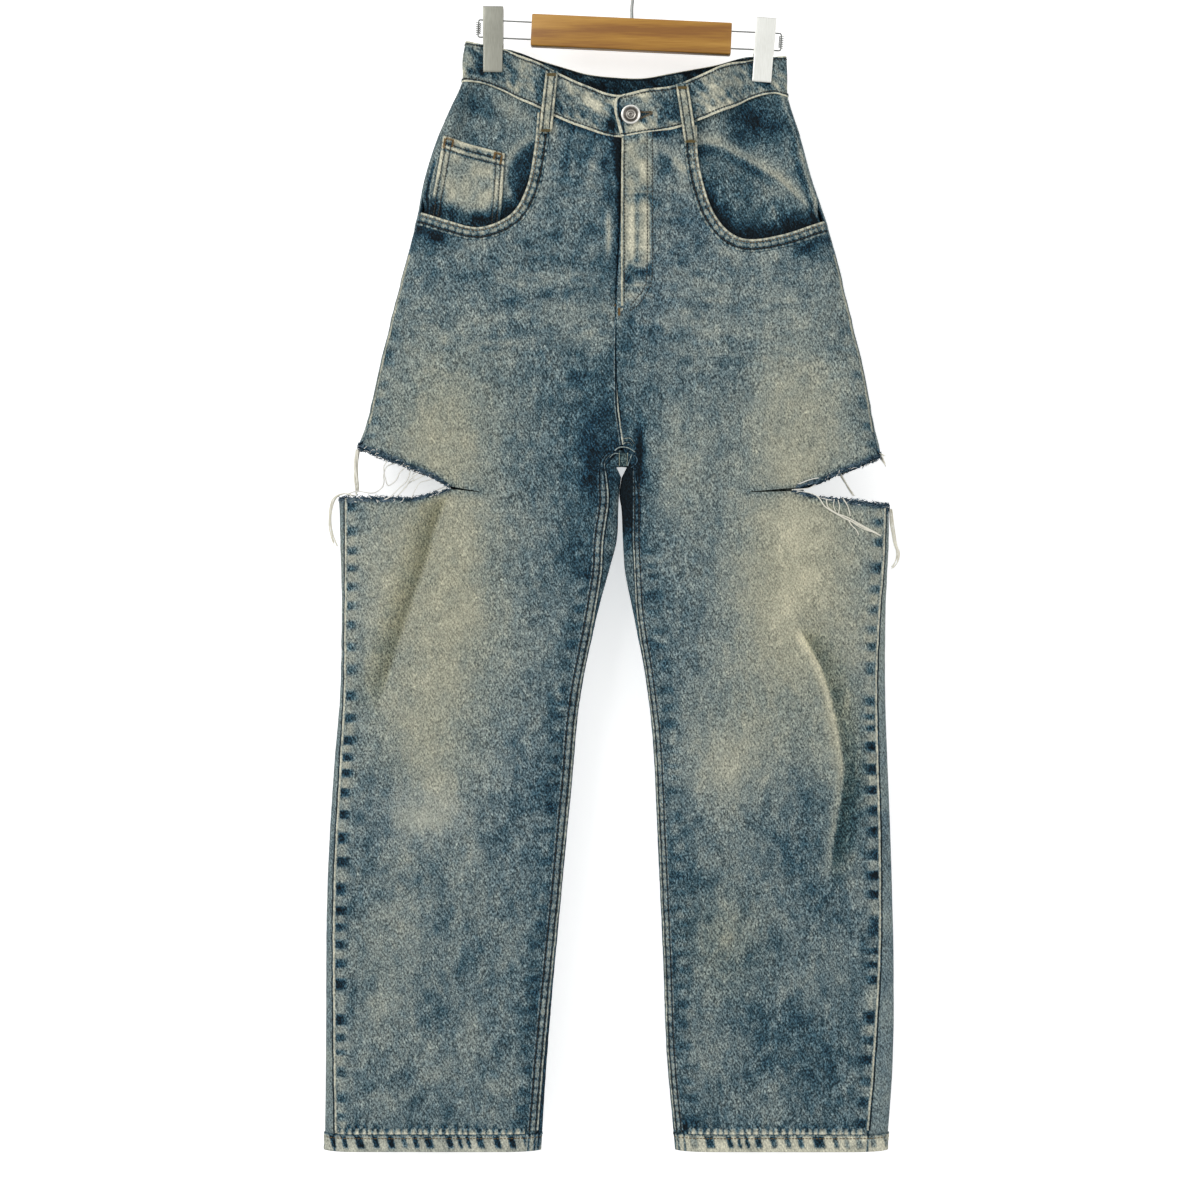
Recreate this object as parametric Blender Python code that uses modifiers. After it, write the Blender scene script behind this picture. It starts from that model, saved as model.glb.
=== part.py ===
"""Ripped denim jeans, clipped by the waistband to a wooden trouser hanger.

Millimetres in the tables, turned to metres as points are made. +X is the wearer's left,
+Y the back of the garment, +Z up. The origin is the inner top of the hanger's hook.
The cloth is one form: flattened sections, stacked by height, which each panel covers between
its own seams. A point of the cloth is named by its side, its way round the section and its height.
"""
from collections import namedtuple
from math import acos, cos, exp, pi, radians, sin, sqrt

import bmesh
import bpy
from mathutils import Matrix, Vector

MM = 0.001

# ---------------------------------------------------------------- driving sizes, mm
DENIM = 1.6            # one layer of heavy washed denim
BAND_WALL = 2.4        # waistband, two layers pressed
HEM_WALL = 2.6         # hem, folded twice
SEAM_GAP = 0.3         # between pieces that are sewn edge to edge or laid on each other
FOLD_GAP = 0.7         # at side seams and inseams, where the cloth turns round a fold
CENTRE = -8.0          # x of the crotch
CROTCH_FRONT = -482.0  # height where the front rise meets the inseams
CROTCH_BOTTOM = -502.0  # height of the lowest point of the rise
HEM_TOP = -1134.5
HEM_BOTTOM = -1148.0
POCKET_SINK = 4.6      # how far the pocket facings lie inside the fronts
FACING_TOP_SINK = 2.4  # the same at the waist seam
PINCH_HALF = 2.3       # half the distance between the layers that a clip holds
PINCH_BELOW = 2.6      # how much that grows below the waistband
PINCH_BELOW_SPAN = 30.0
PINCH_TURN = 6.0       # width of the turn at an outer fold where the layers are pressed
PINCH_FLAT = 15.0      # the layers are pressed flat this far each side of a clip's middle
PINCH_FALL = 31.0      # and open out again over this distance
PINCH_END = -250.0     # height where a clip's press has faded out
PINCH_SPAN = 105.0     # height over which it fades
ROUND_AT_WAIST = 9.0   # width of the turn at an outer fold, under the waistband
ROUND_GROWTH = 23.0    # how much wider the turn gets, from ROUND_START down, over ROUND_SPAN
ROUND_START = -140.0
ROUND_SPAN = 120.0
RISE_FRONT = -435.0    # heights where the front and the back start to draw in to the crotch
RISE_BEHIND = -395.0
CENTRE_TURN = 34.0     # width of the turn at a leg's inner fold
CENTRE_BLEND = 50.0    # the same while the rise is still open
MIDDLE_DEPTH = 3.0     # the flattened body's mid-plane
NEAR_WAY = 0.02        # steps to the neighbouring points that give a normal
NEAR_HEIGHT = 6.0
SIDE_FACING = 0.15     # below this a normal counts as facing sideways

RIGHT, LEFT = "right", "left"

# ---------------------------------------------------------------- sections of the cloth
# One row for each height: the outer fold, the inner fold (above the crotch, the centre line),
# how far the side seam and the inseam lie in from those folds on the front, and how far
# the front and the back stand out from the middle.
Section = namedtuple("Section", "height outer inner outseam inseam front back")
SECTIONS = {
    RIGHT: (
        Section(-1150, -289, -85.5, 10.5, 4.0, 14, 16),
        Section(-1045, -288, -78.5, 7.5, 2.5, 14, 16),
        Section(-910, -287, -66.5, 6.5, 1.0, 14, 16),
        Section(-800, -281.5, -56, 6.0, 1.0, 14, 16),
        Section(-722, -275, -48.5, 4.0, 1.0, 14, 17),
        Section(-645, -273, -33, 3.0, 2.0, 15, 18),
        Section(-600, -273.5, -21, 4.0, 6.5, 15, 19),
        Section(-570, -274.5, -13.3, 5.0, 13.0, 15, 20),
        Section(-530, -275.5, -9.6, 6.0, 14.5, 16, 21),
        Section(-508, -267, -9.3, 4.0, 15.3, 16, 22),
        Section(-502, -264.5, -8, 4.0, 16.2, 17, 23),
        Section(-482, -257.5, -8, 3.0, 0, 17, 24),
        Section(-456, -248.5, -9.5, 2.0, 0, 18, 25),
        Section(-418, -240, -13.3, 1.5, 0, 19, 27),
        Section(-342, -221.4, -13.3, 1.0, 0, 20, 30),
        Section(-266, -202, -9.2, 1.0, 0, 20, 30),
        Section(-228, -194.5, -8.8, 1.0, 0, 20, 28),
        Section(-190, -182.5, -8, 1.0, 0, 21, 25),
        Section(-160, -169, -8, 1.0, 0, 22, 22),
        Section(-136, -158.7, -8, 1.0, 0, 23, 20),
        Section(-115, -158, -8, 1.0, 0, 24, 20),
        Section(-95, -155, -8, 1.0, 0, 24, 20),
    ),
    LEFT: (
        Section(-1150, 243, 44, 20.0, 1.5, 14, 16),
        Section(-1060, 249, 36, 18.0, 1.0, 14, 16),
        Section(-960, 249.5, 32, 13.0, 1.0, 14, 16),
        Section(-850, 246.5, 27, 10.0, 1.0, 14, 16),
        Section(-760, 243, 22.5, 9.0, 1.0, 14, 17),
        Section(-700, 241.5, 15.5, 8.0, 1.0, 14, 17),
        Section(-640, 242, 4, 6.0, 3.0, 15, 18),
        Section(-600, 243.5, -4.0, 4.0, 8.5, 15, 19),
        Section(-570, 245, -6.0, 4.0, 10.5, 15, 20),
        Section(-537, 245, -6.6, 3.5, 10.0, 16, 21),
        Section(-508, 240.5, -6.7, 2.5, 9.0, 16, 22),
        Section(-502, 240, -8, 2.5, 9.5, 17, 23),
        Section(-482, 236, -8, 2.5, 0, 17, 24),
        Section(-456, 230, -9.5, 2.0, 0, 18, 25),
        Section(-418, 223.3, -13.3, 1.5, 0, 19, 27),
        Section(-342, 205, -13.3, 1.5, 0, 20, 30),
        Section(-304, 196, -11, 1.5, 0, 20, 30),
        Section(-266, 185, -9.2, 1.5, 0, 20, 30),
        Section(-228, 172, -8.8, 1.5, 0, 20, 28),
        Section(-190, 161.5, -8, 1.5, 0, 21, 25),
        Section(-150, 149, -8, 1.0, 0, 22, 21),
        Section(-130, 148.3, -8, 1.0, 0, 23, 20),
        Section(-95, 147, -8, 1.0, 0, 24, 20),
    ),
}
SEAM_INSET = 0.8       # a side seam lies at least this far in from the outer fold

# The waistband's edges, by distance across: top and seam on the front, top and seam behind.
Waist = namedtuple("Waist", "across front_top front_seam back_top back_seam")
WAIST = (
    Waist(-159, -97, -136, -97, -136),
    Waist(-142, -99.5, -136.5, -99.5, -138),
    Waist(-119, -104.5, -145, -103.5, -143),
    Waist(-95, -117, -158.5, -108, -148),
    Waist(-68, -131.5, -173, -116, -156),
    Waist(-42, -143, -183, -123.5, -163.5),
    Waist(-13, -152, -191, -127, -167),
    Waist(13, -147, -188, -127.5, -167.5),
    Waist(42, -143, -183, -122.5, -162.5),
    Waist(73, -130, -172, -117, -157),
    Waist(95, -120, -162, -113, -153),
    Waist(115, -115, -151.5, -111, -150),
    Waist(136, -112, -146.5, -111, -149),
    Waist(149, -111, -150, -111, -150),
)

# Heights of the rows of every panel below the waist seam. The rise ends on two of them.
ROW_HEIGHTS = (-136, -172, -205, -238, -272, -310, -350, -390, -425, -455, CROTCH_FRONT, -492,
               CROTCH_BOTTOM, -514, -540, -580, -640, -710, -790, -880, -970, -1060, HEM_TOP)
ROWS_FOLLOW_WAIST_TO = -310
SOLE_ROWS = ROW_HEIGHTS[ROW_HEIGHTS.index(CROTCH_FRONT):]
SOLE_TIP = 0.35        # the crotch piece starts this share of a row below the end of the front rise

# The largest folds, as soft ridges (positive) and troughs (negative) on the front.
Fold = namedtuple("Fold", "top_x top_z bottom_x bottom_z width depth")
FOLDS = (
    Fold(-180, -540, -242, -735, 22, -3.0),
    Fold(158, -650, 200, -785, 20, 3.0),
    Fold(200, -785, 188, -900, 24, 2.5),
)
FOLD_TURN = 30.0       # a fold fades out this far from the outer fold of the leg

# The back yokes: half the width of both, their depth at the side, and how much that grows to the centre.
YOKE_HALF = 160.0
YOKE_AT_SIDE = 36.0
YOKE_POINT = 34.0

# The clips, by distance across at the waistband.
CLIP_ACROSS = {RIGHT: -130.0, LEFT: 127.0}
CLIP_TILT = {RIGHT: 0.3, LEFT: 4.4}    # degrees, top towards the wearer's left
CLIP_TOP = {RIGHT: -64.5, LEFT: -75.0}
CLIP_BOTTOM = {RIGHT: -126.5, LEFT: -136.0}


# ---------------------------------------------------------------- working out the form
def smooth_value(rows, column, at):
    """A column of a table at a place between its rows, on a smooth curve through them."""
    key = rows[0]._fields[0]
    points = sorted((getattr(row, key), getattr(row, column)) for row in rows)
    at = min(max(at, points[0][0]), points[-1][0])
    index = next(i for i in range(1, len(points)) if at <= points[i][0])
    slopes = []
    for i in (index - 1, index):
        before, after = points[max(i - 1, 0)], points[min(i + 1, len(points) - 1)]
        slopes.append((after[1] - before[1]) / (after[0] - before[0]))
    (x0, y0), (x1, y1) = points[index - 1], points[index]
    span = x1 - x0
    t = (at - x0) / span
    return (y0 * (1 + 2 * t) * (1 - t) ** 2 + slopes[0] * span * t * (1 - t) ** 2
            + y1 * t * t * (3 - 2 * t) + slopes[1] * span * t * t * (t - 1))


def ease(value):
    """0 to 1, level at both ends."""
    value = min(max(value, 0.0), 1.0)
    return value * value * (3 - 2 * value)


def quarter_round(share):
    """The rise of a quarter circle over its width."""
    share = min(max(share, 0.0), 1.0)
    return sqrt(1 - (1 - share) ** 2)


def rise_depth(height, start):
    """Share of the full depth at the centre line: 1 above the rise's curve, 0 below the crotch."""
    if height >= start:
        return 1.0
    if height <= CROTCH_BOTTOM:
        return 0.0
    return sqrt(1 - ((start - height) / (start - CROTCH_BOTTOM)) ** 2)


def pinch(side, across, height):
    """How much a clip presses the layers together, 0 to 1."""
    near = 1 - ease((abs(across - CLIP_ACROSS[side]) - PINCH_FLAT) / PINCH_FALL)
    return near * ease((height - PINCH_END) / PINCH_SPAN)


def fold_height(across, height):
    """How far the largest folds lift or sink the front."""
    total = 0.0
    for fold in FOLDS:
        run = Vector((fold.bottom_x - fold.top_x, fold.bottom_z - fold.top_z))
        place = Vector((across - fold.top_x, height - fold.top_z))
        along = min(max(place.dot(run) / run.length_squared, 0.0), 1.0)
        away = (place - run * along).length
        total += fold.depth * exp(-(away / fold.width) ** 2)
    return total


def cloth_place(side, way, height):
    """Way 0 is the inner fold or centre line, 1 the outer fold, 2 the inner fold or centre behind."""
    rows = SECTIONS[side]
    outer, inner = smooth_value(rows, "outer", height), smooth_value(rows, "inner", height)
    share = (1 - cos(pi * way)) / 2
    across = inner + (outer - inner) * share
    from_outer, from_inner = abs(outer - across), abs(across - inner)
    outer_turn = ROUND_AT_WAIST + ROUND_GROWTH * ease((ROUND_START - height) / ROUND_SPAN)
    behind = way > 1
    depth = smooth_value(rows, "back" if behind else "front", height)
    depth *= quarter_round(from_outer / outer_turn)
    open_share = rise_depth(height, RISE_BEHIND if behind else RISE_FRONT)
    closed = (1 - open_share) ** 2
    inner_turn = (1 - closed) * ease(from_inner / CENTRE_BLEND)
    inner_turn += closed * quarter_round(from_inner / CENTRE_TURN)
    depth *= open_share + (1 - open_share) * inner_turn
    held = PINCH_HALF + PINCH_BELOW * ease((front_seam(across) - height) / PINCH_BELOW_SPAN)
    held *= quarter_round(from_outer / PINCH_TURN)
    depth += (held - depth) * pinch(side, across, height)
    if not behind:
        depth += fold_height(across, height) * quarter_round(from_outer / FOLD_TURN)
    return Vector((across, depth if behind else -depth, height))


def cloth(side, way, height, out=0.0):
    """A point on the cloth's middle surface, or moved out of it."""
    place = cloth_place(side, way, height)
    if not out:
        return place
    before, after = max(way - NEAR_WAY, 0.0), min(way + NEAR_WAY, 2.0)
    along = cloth_place(side, after, height) - cloth_place(side, before, height)
    down = cloth_place(side, way, height - NEAR_HEIGHT) - cloth_place(side, way, height + NEAR_HEIGHT)
    normal = along.cross(down).normalized()
    if abs(normal.y) > SIDE_FACING:
        outward = normal.y * (place.y - MIDDLE_DEPTH)
    else:
        outward = normal.x * (-1 if side == RIGHT else 1)
    return place + normal * (out if outward > 0 else -out)


def way_at(side, across, height, behind=False):
    """The way round the section of a place on the front, or behind."""
    rows = SECTIONS[side]
    outer, inner = smooth_value(rows, "outer", height), smooth_value(rows, "inner", height)
    share = min(max((across - inner) / (outer - inner), 0.0), 1.0)
    way = acos(1 - 2 * share) / pi
    return 2 - way if behind else way


def seam_way(side, column, height):
    """The way of the side seam or the inseam, which both lie on the front."""
    rows = SECTIONS[side]
    inwards = 1 if side == RIGHT else -1
    inset = max(smooth_value(rows, column, height), 0.0)
    if column == "outseam":
        return way_at(side, smooth_value(rows, "outer", height) + inwards * max(inset, SEAM_INSET), height)
    if height >= CROTCH_FRONT:
        return 0.0
    return way_at(side, smooth_value(rows, "inner", height) - inwards * inset, height)


def trim(side, way, height, gap):
    """A way moved by a small distance along the section."""
    start = cloth_place(side, way, height)
    step = 0.01 if gap > 0 else -0.01
    for _ in range(6):
        moved = cloth_place(side, min(max(way + step, 0.0), 2.0), height)
        step *= sqrt(abs(gap) / max((moved - start).length, 1e-6))
    return way + step


def panel_height(side, way, row_height, top_of):
    """A row's height in a panel whose top edge is a seam: the upper rows follow that seam."""
    if row_height <= ROWS_FOLLOW_WAIST_TO:
        return row_height
    share = (row_height - ROWS_FOLLOW_WAIST_TO) / (ROW_HEIGHTS[0] - ROWS_FOLLOW_WAIST_TO)
    height = row_height
    for _ in range(3):
        top = top_of(cloth_place(side, way, height).x)
        height = ROWS_FOLLOW_WAIST_TO + share * (top - ROWS_FOLLOW_WAIST_TO)
    return height


def front_seam(across):
    return smooth_value(WAIST, "front_seam", across)


def back_seam(across):
    return smooth_value(WAIST, "back_seam", across)


def yoke_seam(across):
    """The yoke is deeper at the centre than at the sides."""
    from_side = max(0.0, 1 - abs(across - CENTRE) / YOKE_HALF)
    return back_seam(across) - YOKE_AT_SIDE - YOKE_POINT * from_side


# ---------------------------------------------------------------- making pieces
CUT_REACH = 300.0      # cutters run past the garment by these
CUT_TOP = -90.0
CUT_DEPTH = 90.0


def clear_scene():
    for thing in list(bpy.data.objects):
        bpy.data.objects.remove(thing, do_unlink=True)


def new_collection(name):
    collection = bpy.data.collections.new(name)
    bpy.context.scene.collection.children.link(collection)
    return collection


def finish(name, colour, roughness, metallic=0.0):
    material = bpy.data.materials.new(name)
    material.use_nodes = True
    shader = material.node_tree.nodes["Principled BSDF"]
    shader.inputs["Base Color"].default_value = (*colour, 1)
    shader.inputs["Roughness"].default_value = roughness
    shader.inputs["Metallic"].default_value = metallic
    return material


def add_piece(name, shape, material, collection):
    mesh = bpy.data.meshes.new(name)
    shape.to_mesh(mesh)
    shape.free()
    piece = bpy.data.objects.new(name, mesh)
    piece.data.materials.append(material)
    collection.objects.link(piece)
    return piece


def grid_shape(columns, rows, place_of):
    """A grid whose corners run 0 to 1 both ways, each point put in its place, in metres."""
    shape = bmesh.new()
    bmesh.ops.create_grid(shape, x_segments=columns, y_segments=rows, size=0.5)
    for vert in shape.verts:
        vert.co = place_of(vert.co.x + 0.5, vert.co.y + 0.5) * MM
    return shape


def thicken(piece, wall):
    solidify = piece.modifiers.new("wall", 'SOLIDIFY')
    solidify.thickness = wall * MM
    solidify.offset = 0
    return piece


def sheet(name, columns, rows, place_of, wall, material, closed=False):
    shape = grid_shape(columns, rows, place_of)
    if closed:
        bmesh.ops.remove_doubles(shape, verts=shape.verts, dist=0.00005)
    return thicken(add_piece(name, shape, material, PARTS), wall)


def cutter_from_outline(name, outline, near, far):
    """A flat outline of (x, z) points in mm, pushed through from one depth to the other."""
    shape = bmesh.new()
    ring = [shape.verts.new((x * MM, near * MM, z * MM)) for x, z in outline]
    face = shape.faces.new(ring)
    pushed = bmesh.ops.extrude_face_region(shape, geom=[face])
    moved = [item for item in pushed["geom"] if isinstance(item, bmesh.types.BMVert)]
    bmesh.ops.translate(shape, verts=moved, vec=(0, (far - near) * MM, 0))
    bmesh.ops.recalc_face_normals(shape, faces=shape.faces)
    return add_tool(name, shape)


def add_tool(name, shape):
    """A shape that only cuts or joins others."""
    mesh = bpy.data.meshes.new(name)
    shape.to_mesh(mesh)
    shape.free()
    tool = bpy.data.objects.new(name, mesh)
    tool.hide_render = True
    tool.display_type = 'WIRE'
    CUTTERS.objects.link(tool)
    return tool


def cut(piece, cutter, solver='EXACT'):
    boolean = piece.modifiers.new(cutter.name, 'BOOLEAN')
    boolean.operation = 'DIFFERENCE'
    boolean.object = cutter
    boolean.solver = solver
    return piece


def curve_points(points, steps):
    """A smooth curve through the given points."""
    smooth = []
    for i in range(len(points) - 1):
        before = Vector(points[max(i - 1, 0)])
        start, end = Vector(points[i]), Vector(points[i + 1])
        after = Vector(points[min(i + 2, len(points) - 1)])
        for step in range(steps):
            t = step / steps
            smooth.append(0.5 * (2 * start + (end - before) * t
                                 + (2 * before - 5 * start + 4 * end - after) * t * t
                                 + (3 * start - before - 3 * end + after) * t ** 3))
    smooth.append(Vector(points[-1]))
    return smooth


def tube(name, points, radius, material, sides=2, cyclic=False):
    """A round wire or yarn along points in mm."""
    curve = bpy.data.curves.new(name, 'CURVE')
    curve.dimensions = '3D'
    curve.bevel_depth = radius * MM
    curve.bevel_resolution = sides
    curve.use_fill_caps = True
    spline = curve.splines.new('POLY')
    spline.points.add(len(points) - 1)
    for point, place in zip(spline.points, points):
        point.co = (*(Vector(place) * MM), 1)
    spline.use_cyclic_u = cyclic
    piece = bpy.data.objects.new(name, curve)
    curve.materials.append(material)
    PARTS.objects.link(piece)
    return piece


def block(name, low, high, material, bevel=0.0):
    """A box between two corners in mm, centred on its own origin, with rounded edges."""
    low, high = Vector(low), Vector(high)
    shape = bmesh.new()
    bmesh.ops.create_cube(shape, size=1)
    bmesh.ops.scale(shape, vec=(high - low) * MM, verts=shape.verts)
    piece = add_piece(name, shape, material, PARTS)
    piece.location = (low + high) / 2 * MM
    if bevel:
        rounded = piece.modifiers.new("edges", 'BEVEL')
        rounded.width = bevel * MM
        rounded.segments = 2
    return piece


# ---------------------------------------------------------------- panels
CROTCH_CUT = (-512.0, -466.0)    # heights
CROTCH_CUT_WIDTH = 30.0


def front_panel(side):
    """From the centre front and the inseam out to the side seam, and from the waist to the hem."""
    gap = SEAM_GAP / 2

    def place(u, v):
        row = ROW_HEIGHTS[round((1 - v) * (len(ROW_HEIGHTS) - 1))]
        way = u
        for _ in range(2):
            height = panel_height(side, way, row, front_seam)
            inner_gap = gap if height >= CROTCH_FRONT else FOLD_GAP / 2
            start = trim(side, seam_way(side, "inseam", height), height, inner_gap)
            end = trim(side, seam_way(side, "outseam", height), height, -FOLD_GAP / 2)
            way = start + (end - start) * u
        if row == ROW_HEIGHTS[0]:
            height -= SEAM_GAP + gap
        if row == HEM_TOP:
            height += gap
        return cloth(side, way, height, fly_lift(side, way, height))

    return sheet(f"front_panel_{side}", 10, len(ROW_HEIGHTS) - 1, place, DENIM, DENIM_FINISH)


def back_panel(side):
    """The back wraps round both folds, and its crotch piece reaches the inseam on the front."""
    gap = SEAM_GAP / 2

    def back_place(u, v):
        row = ROW_HEIGHTS[round((1 - v) * (len(ROW_HEIGHTS) - 1))]
        way = 1 + u
        for _ in range(2):
            height = panel_height(side, way, row, yoke_seam)
            start = trim(side, seam_way(side, "outseam", height), height, FOLD_GAP / 2)
            end = 2.0 if row <= CROTCH_BOTTOM else trim(side, 2.0, height, -SEAM_GAP)
            way = start + (end - start) * u
        if row == ROW_HEIGHTS[0]:
            height -= gap
        if row == HEM_TOP:
            height += gap
        return cloth_place(side, way, height)

    def sole_place(u, v):
        row = SOLE_ROWS[round((1 - v) * (len(SOLE_ROWS) - 1))]
        height, end = row, seam_way(side, "inseam", row)
        if row == CROTCH_FRONT:
            height = row - SOLE_TIP * (row - SOLE_ROWS[1])
            end = SOLE_TIP * seam_way(side, "inseam", SOLE_ROWS[1])
        end = trim(side, end, height, -FOLD_GAP / 2)
        start = 0.0 if row <= CROTCH_BOTTOM else trim(side, 0.0, height, gap)
        way = start + (end - start) * u
        if row == HEM_TOP:
            height += gap
        return cloth_place(side, way, height)

    shape = grid_shape(15, len(ROW_HEIGHTS) - 1, back_place)
    sole = grid_shape(2, len(SOLE_ROWS) - 1, sole_place)
    mesh = bpy.data.meshes.new("crotch_piece")
    sole.to_mesh(mesh)
    sole.free()
    shape.from_mesh(mesh)
    bpy.data.meshes.remove(mesh)
    bmesh.ops.remove_doubles(shape, verts=shape.verts, dist=0.00005)
    bmesh.ops.recalc_face_normals(shape, faces=shape.faces)
    return thicken(add_piece(f"back_panel_{side}", shape, DENIM_FINISH, PARTS), DENIM)


def crotch_cutter(side):
    """Keeps the two legs apart where they come closest."""
    inwards = 1 if side == RIGHT else -1
    near, far = CENTRE - inwards * SEAM_GAP / 2, CENTRE + inwards * CROTCH_CUT_WIDTH
    low, high = CROTCH_CUT
    return cutter_from_outline(f"crotch_gap_{side}", ((near, low), (far, low), (far, high), (near, high)),
                               -CUT_DEPTH, CUT_DEPTH)


def yoke(side):
    gap = SEAM_GAP / 2

    def place(u, v):
        way = 1 + u
        for _ in range(2):
            height = -150.0
            for _ in range(3):
                across = cloth_place(side, way, height).x
                top, bottom = back_seam(across) - 2 * gap, yoke_seam(across) + gap
                height = bottom + (top - bottom) * v
            start = trim(side, seam_way(side, "outseam", height), height, FOLD_GAP / 2)
            way = start + (trim(side, 2.0, height, -gap) - start) * u
        return cloth_place(side, way, height)

    return sheet(f"back_yoke_{side}", 15, 2, place, DENIM, DENIM_FINISH)


def hem(side):
    """The turned-up hem, a ring right round the leg."""
    def place(u, v):
        height = HEM_BOTTOM + (HEM_TOP - SEAM_GAP / 2 - HEM_BOTTOM) * v
        return cloth_place(side, (2 * u) % 2, height)

    return sheet(f"hem_{side}", 30, 1, place, HEM_WALL, DENIM_FINISH, closed=True)


# ---------------------------------------------------------------- waistband
BAND_STEPS = 48
BAND_END = (-11.5, -15.2, -8.8)    # x of the buttonhole end at its top, middle and bottom
BAND_LAP_LIFT = 1.5     # where the ends overlap, each moves this much, one out and one in
BAND_LAP_FADE = 60.0    # the move fades out over this distance
# The strip's route by ways: each run's side, start, end, its move at the overlap, and the x
# that this fades out from.
Run = namedtuple("Run", "side start end lift lap_from")
BAND_RUNS = (
    Run(LEFT, 0.14, 0.0, -BAND_LAP_LIFT, -8.0),
    Run(RIGHT, 0.0, 2.0, -BAND_LAP_LIFT, -12.0),
    Run(LEFT, 2.0, 0.0, BAND_LAP_LIFT, 8.0),
)


def band_place(side, way, share, out=0.0):
    """Share 1 is the top edge of the waistband, 0 its seam."""
    behind = way > 1
    height = -130.0
    for _ in range(4):
        across = cloth_place(side, way, height).x
        top = smooth_value(WAIST, "back_top" if behind else "front_top", across)
        seam = smooth_value(WAIST, "back_seam" if behind else "front_seam", across)
        height = seam + SEAM_GAP / 2 + (top - seam) * share
    return cloth(side, way, height, out)


def waistband():
    """One strip: from the button end under the fly, round the back, to the buttonhole end."""
    total = sum(abs(run.end - run.start) for run in BAND_RUNS)

    def place(u, v):
        travelled = round(u * BAND_STEPS) / BAND_STEPS * total
        for run in BAND_RUNS:
            if travelled <= abs(run.end - run.start) or run is BAND_RUNS[-1]:
                break
            travelled -= abs(run.end - run.start)
        way = run.start + (travelled if run.end > run.start else -travelled)
        lift = 0.0
        if way < 1:
            away = abs(band_place(run.side, way, v).x - run.lap_from)
            lift = run.lift * ease(1 - away / BAND_LAP_FADE)
        point = band_place(run.side, way, v, lift)
        if run is BAND_RUNS[-1] and way <= 1e-6:
            point.x = BAND_END[round((1 - v) * 2)]
        return point

    return sheet("waistband", BAND_STEPS, 2, place, BAND_WALL, DENIM_FINISH)


# ---------------------------------------------------------------- fly
FLY_EDGE = -8.5        # x of the free edge
FLY_FOOT = -352.0      # height of the bar tack at the foot
FLY_BULGE = 60.0       # the front is back at its own level this far from the edge
FLY_LIFT = 3.4
FLY_FOOT_FADE = 25.0   # the lift fades out this far below the foot
FLY_FADE_SPAN = 40.0
SHIELD_OUT = -1.9
SHIELD_SIDES = (-9.0, 33.0)    # from the centre
ZIP_FROM = 3.0         # from the centre
ZIP_WIDTH = 24.0
ZIP_WALL = 1.2
ZIP_OUT = -0.1
SLIDER = (8.0, 2.6, 13.0)
SLIDER_BEHIND = 0.7    # how far the slider reaches behind the tape's middle
PULL_TAB = (5.0, 0.8, 20.0)
TAB_OUT = 1.5


def fly_lift(side, way, height):
    """The left front stands out over the zip, from the waist seam to the foot of the fly."""
    if side == RIGHT:
        return 0.0
    across = cloth_place(side, way, height).x
    beyond = ease((FLY_EDGE + FLY_BULGE - across) / (FLY_BULGE / 2))
    return FLY_LIFT * beyond * ease((height - FLY_FOOT + FLY_FOOT_FADE) / FLY_FADE_SPAN)


def laid_on_front(name, low_x, high_x, top, bottom, out, wall, material, columns=3, rows=4):
    """A plain rectangle that follows the left front at a set distance from it."""
    def place(u, v):
        across = low_x + (high_x - low_x) * u
        height = bottom + (top - bottom) * v
        side = LEFT if across > CENTRE else RIGHT
        return cloth(side, way_at(side, across, height), height, out)

    return sheet(name, columns, rows, place, wall, material)


def fly():
    """The shield that backs the zip, the zip's tapes, its slider and its pull tab, all hidden."""
    top = front_seam(BUTTON.x) - 2
    laid_on_front("fly_shield", CENTRE + SHIELD_SIDES[0], CENTRE + SHIELD_SIDES[1], top, FLY_FOOT + 6,
                  SHIELD_OUT, DENIM, DENIM_FINISH)
    zip_low = CENTRE + ZIP_FROM
    laid_on_front("zip_tape", zip_low, zip_low + ZIP_WIDTH, top - 18, FLY_FOOT + 14, ZIP_OUT, ZIP_WALL,
                  TAPE_FINISH)
    middle = zip_low + ZIP_WIDTH / 2
    tape = cloth_place(LEFT, way_at(LEFT, middle, top), top).y
    slider_top = top - 4
    slider_back = tape + SLIDER_BEHIND
    block("zip_slider", (middle - SLIDER[0] / 2, slider_back - SLIDER[1], slider_top - SLIDER[2]),
          (middle + SLIDER[0] / 2, slider_back, slider_top), BRASS_FINISH, 0.6)
    tab_top = slider_top - SLIDER[2] - SEAM_GAP
    tab_front = tape - TAB_OUT
    block("zip_pull_tab", (middle - PULL_TAB[0] / 2, tab_front, tab_top - PULL_TAB[2]),
          (middle + PULL_TAB[0] / 2, tab_front + PULL_TAB[1], tab_top), BRASS_FINISH, 0.3)


# ---------------------------------------------------------------- pockets
# The curved mouths of the front pockets, from the waist down and out over the side seam.
MOUTHS = {
    RIGHT: ((-84.6, -140), (-86.5, -172), (-89.5, -203), (-97, -239), (-112, -264), (-141, -276.5),
            (-170, -271), (-201, -260), (-235, -247)),
    LEFT: ((62.5, -140), (61.8, -180), (64.5, -220), (79, -264.5), (104.5, -287), (144, -283.5),
           (187.5, -268), (215, -257)),
}
FACING_TOP_GAP = 0.9
FACING_SIDE_FADE = 24.0    # the facing reaches its full depth this far from the side seam,
FACING_BELOW_FADE = 24.0   # this far below the waist seam,
FACING_CLIP_FLAT = 12.0    # and this far from the flat under a clip
FACING_INNER = {RIGHT: -68.0, LEFT: 44.0}
FACING_BELOW = {RIGHT: -291.0, LEFT: -303.0}
MOUTH_AT_SIDE = {RIGHT: -262.0, LEFT: -268.0}
MOUTH_LEAD = 22.0      # at the side seam the facing starts to sink this far above the mouth
MOUTH_FADE = 17.0      # and is down over this height


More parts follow.
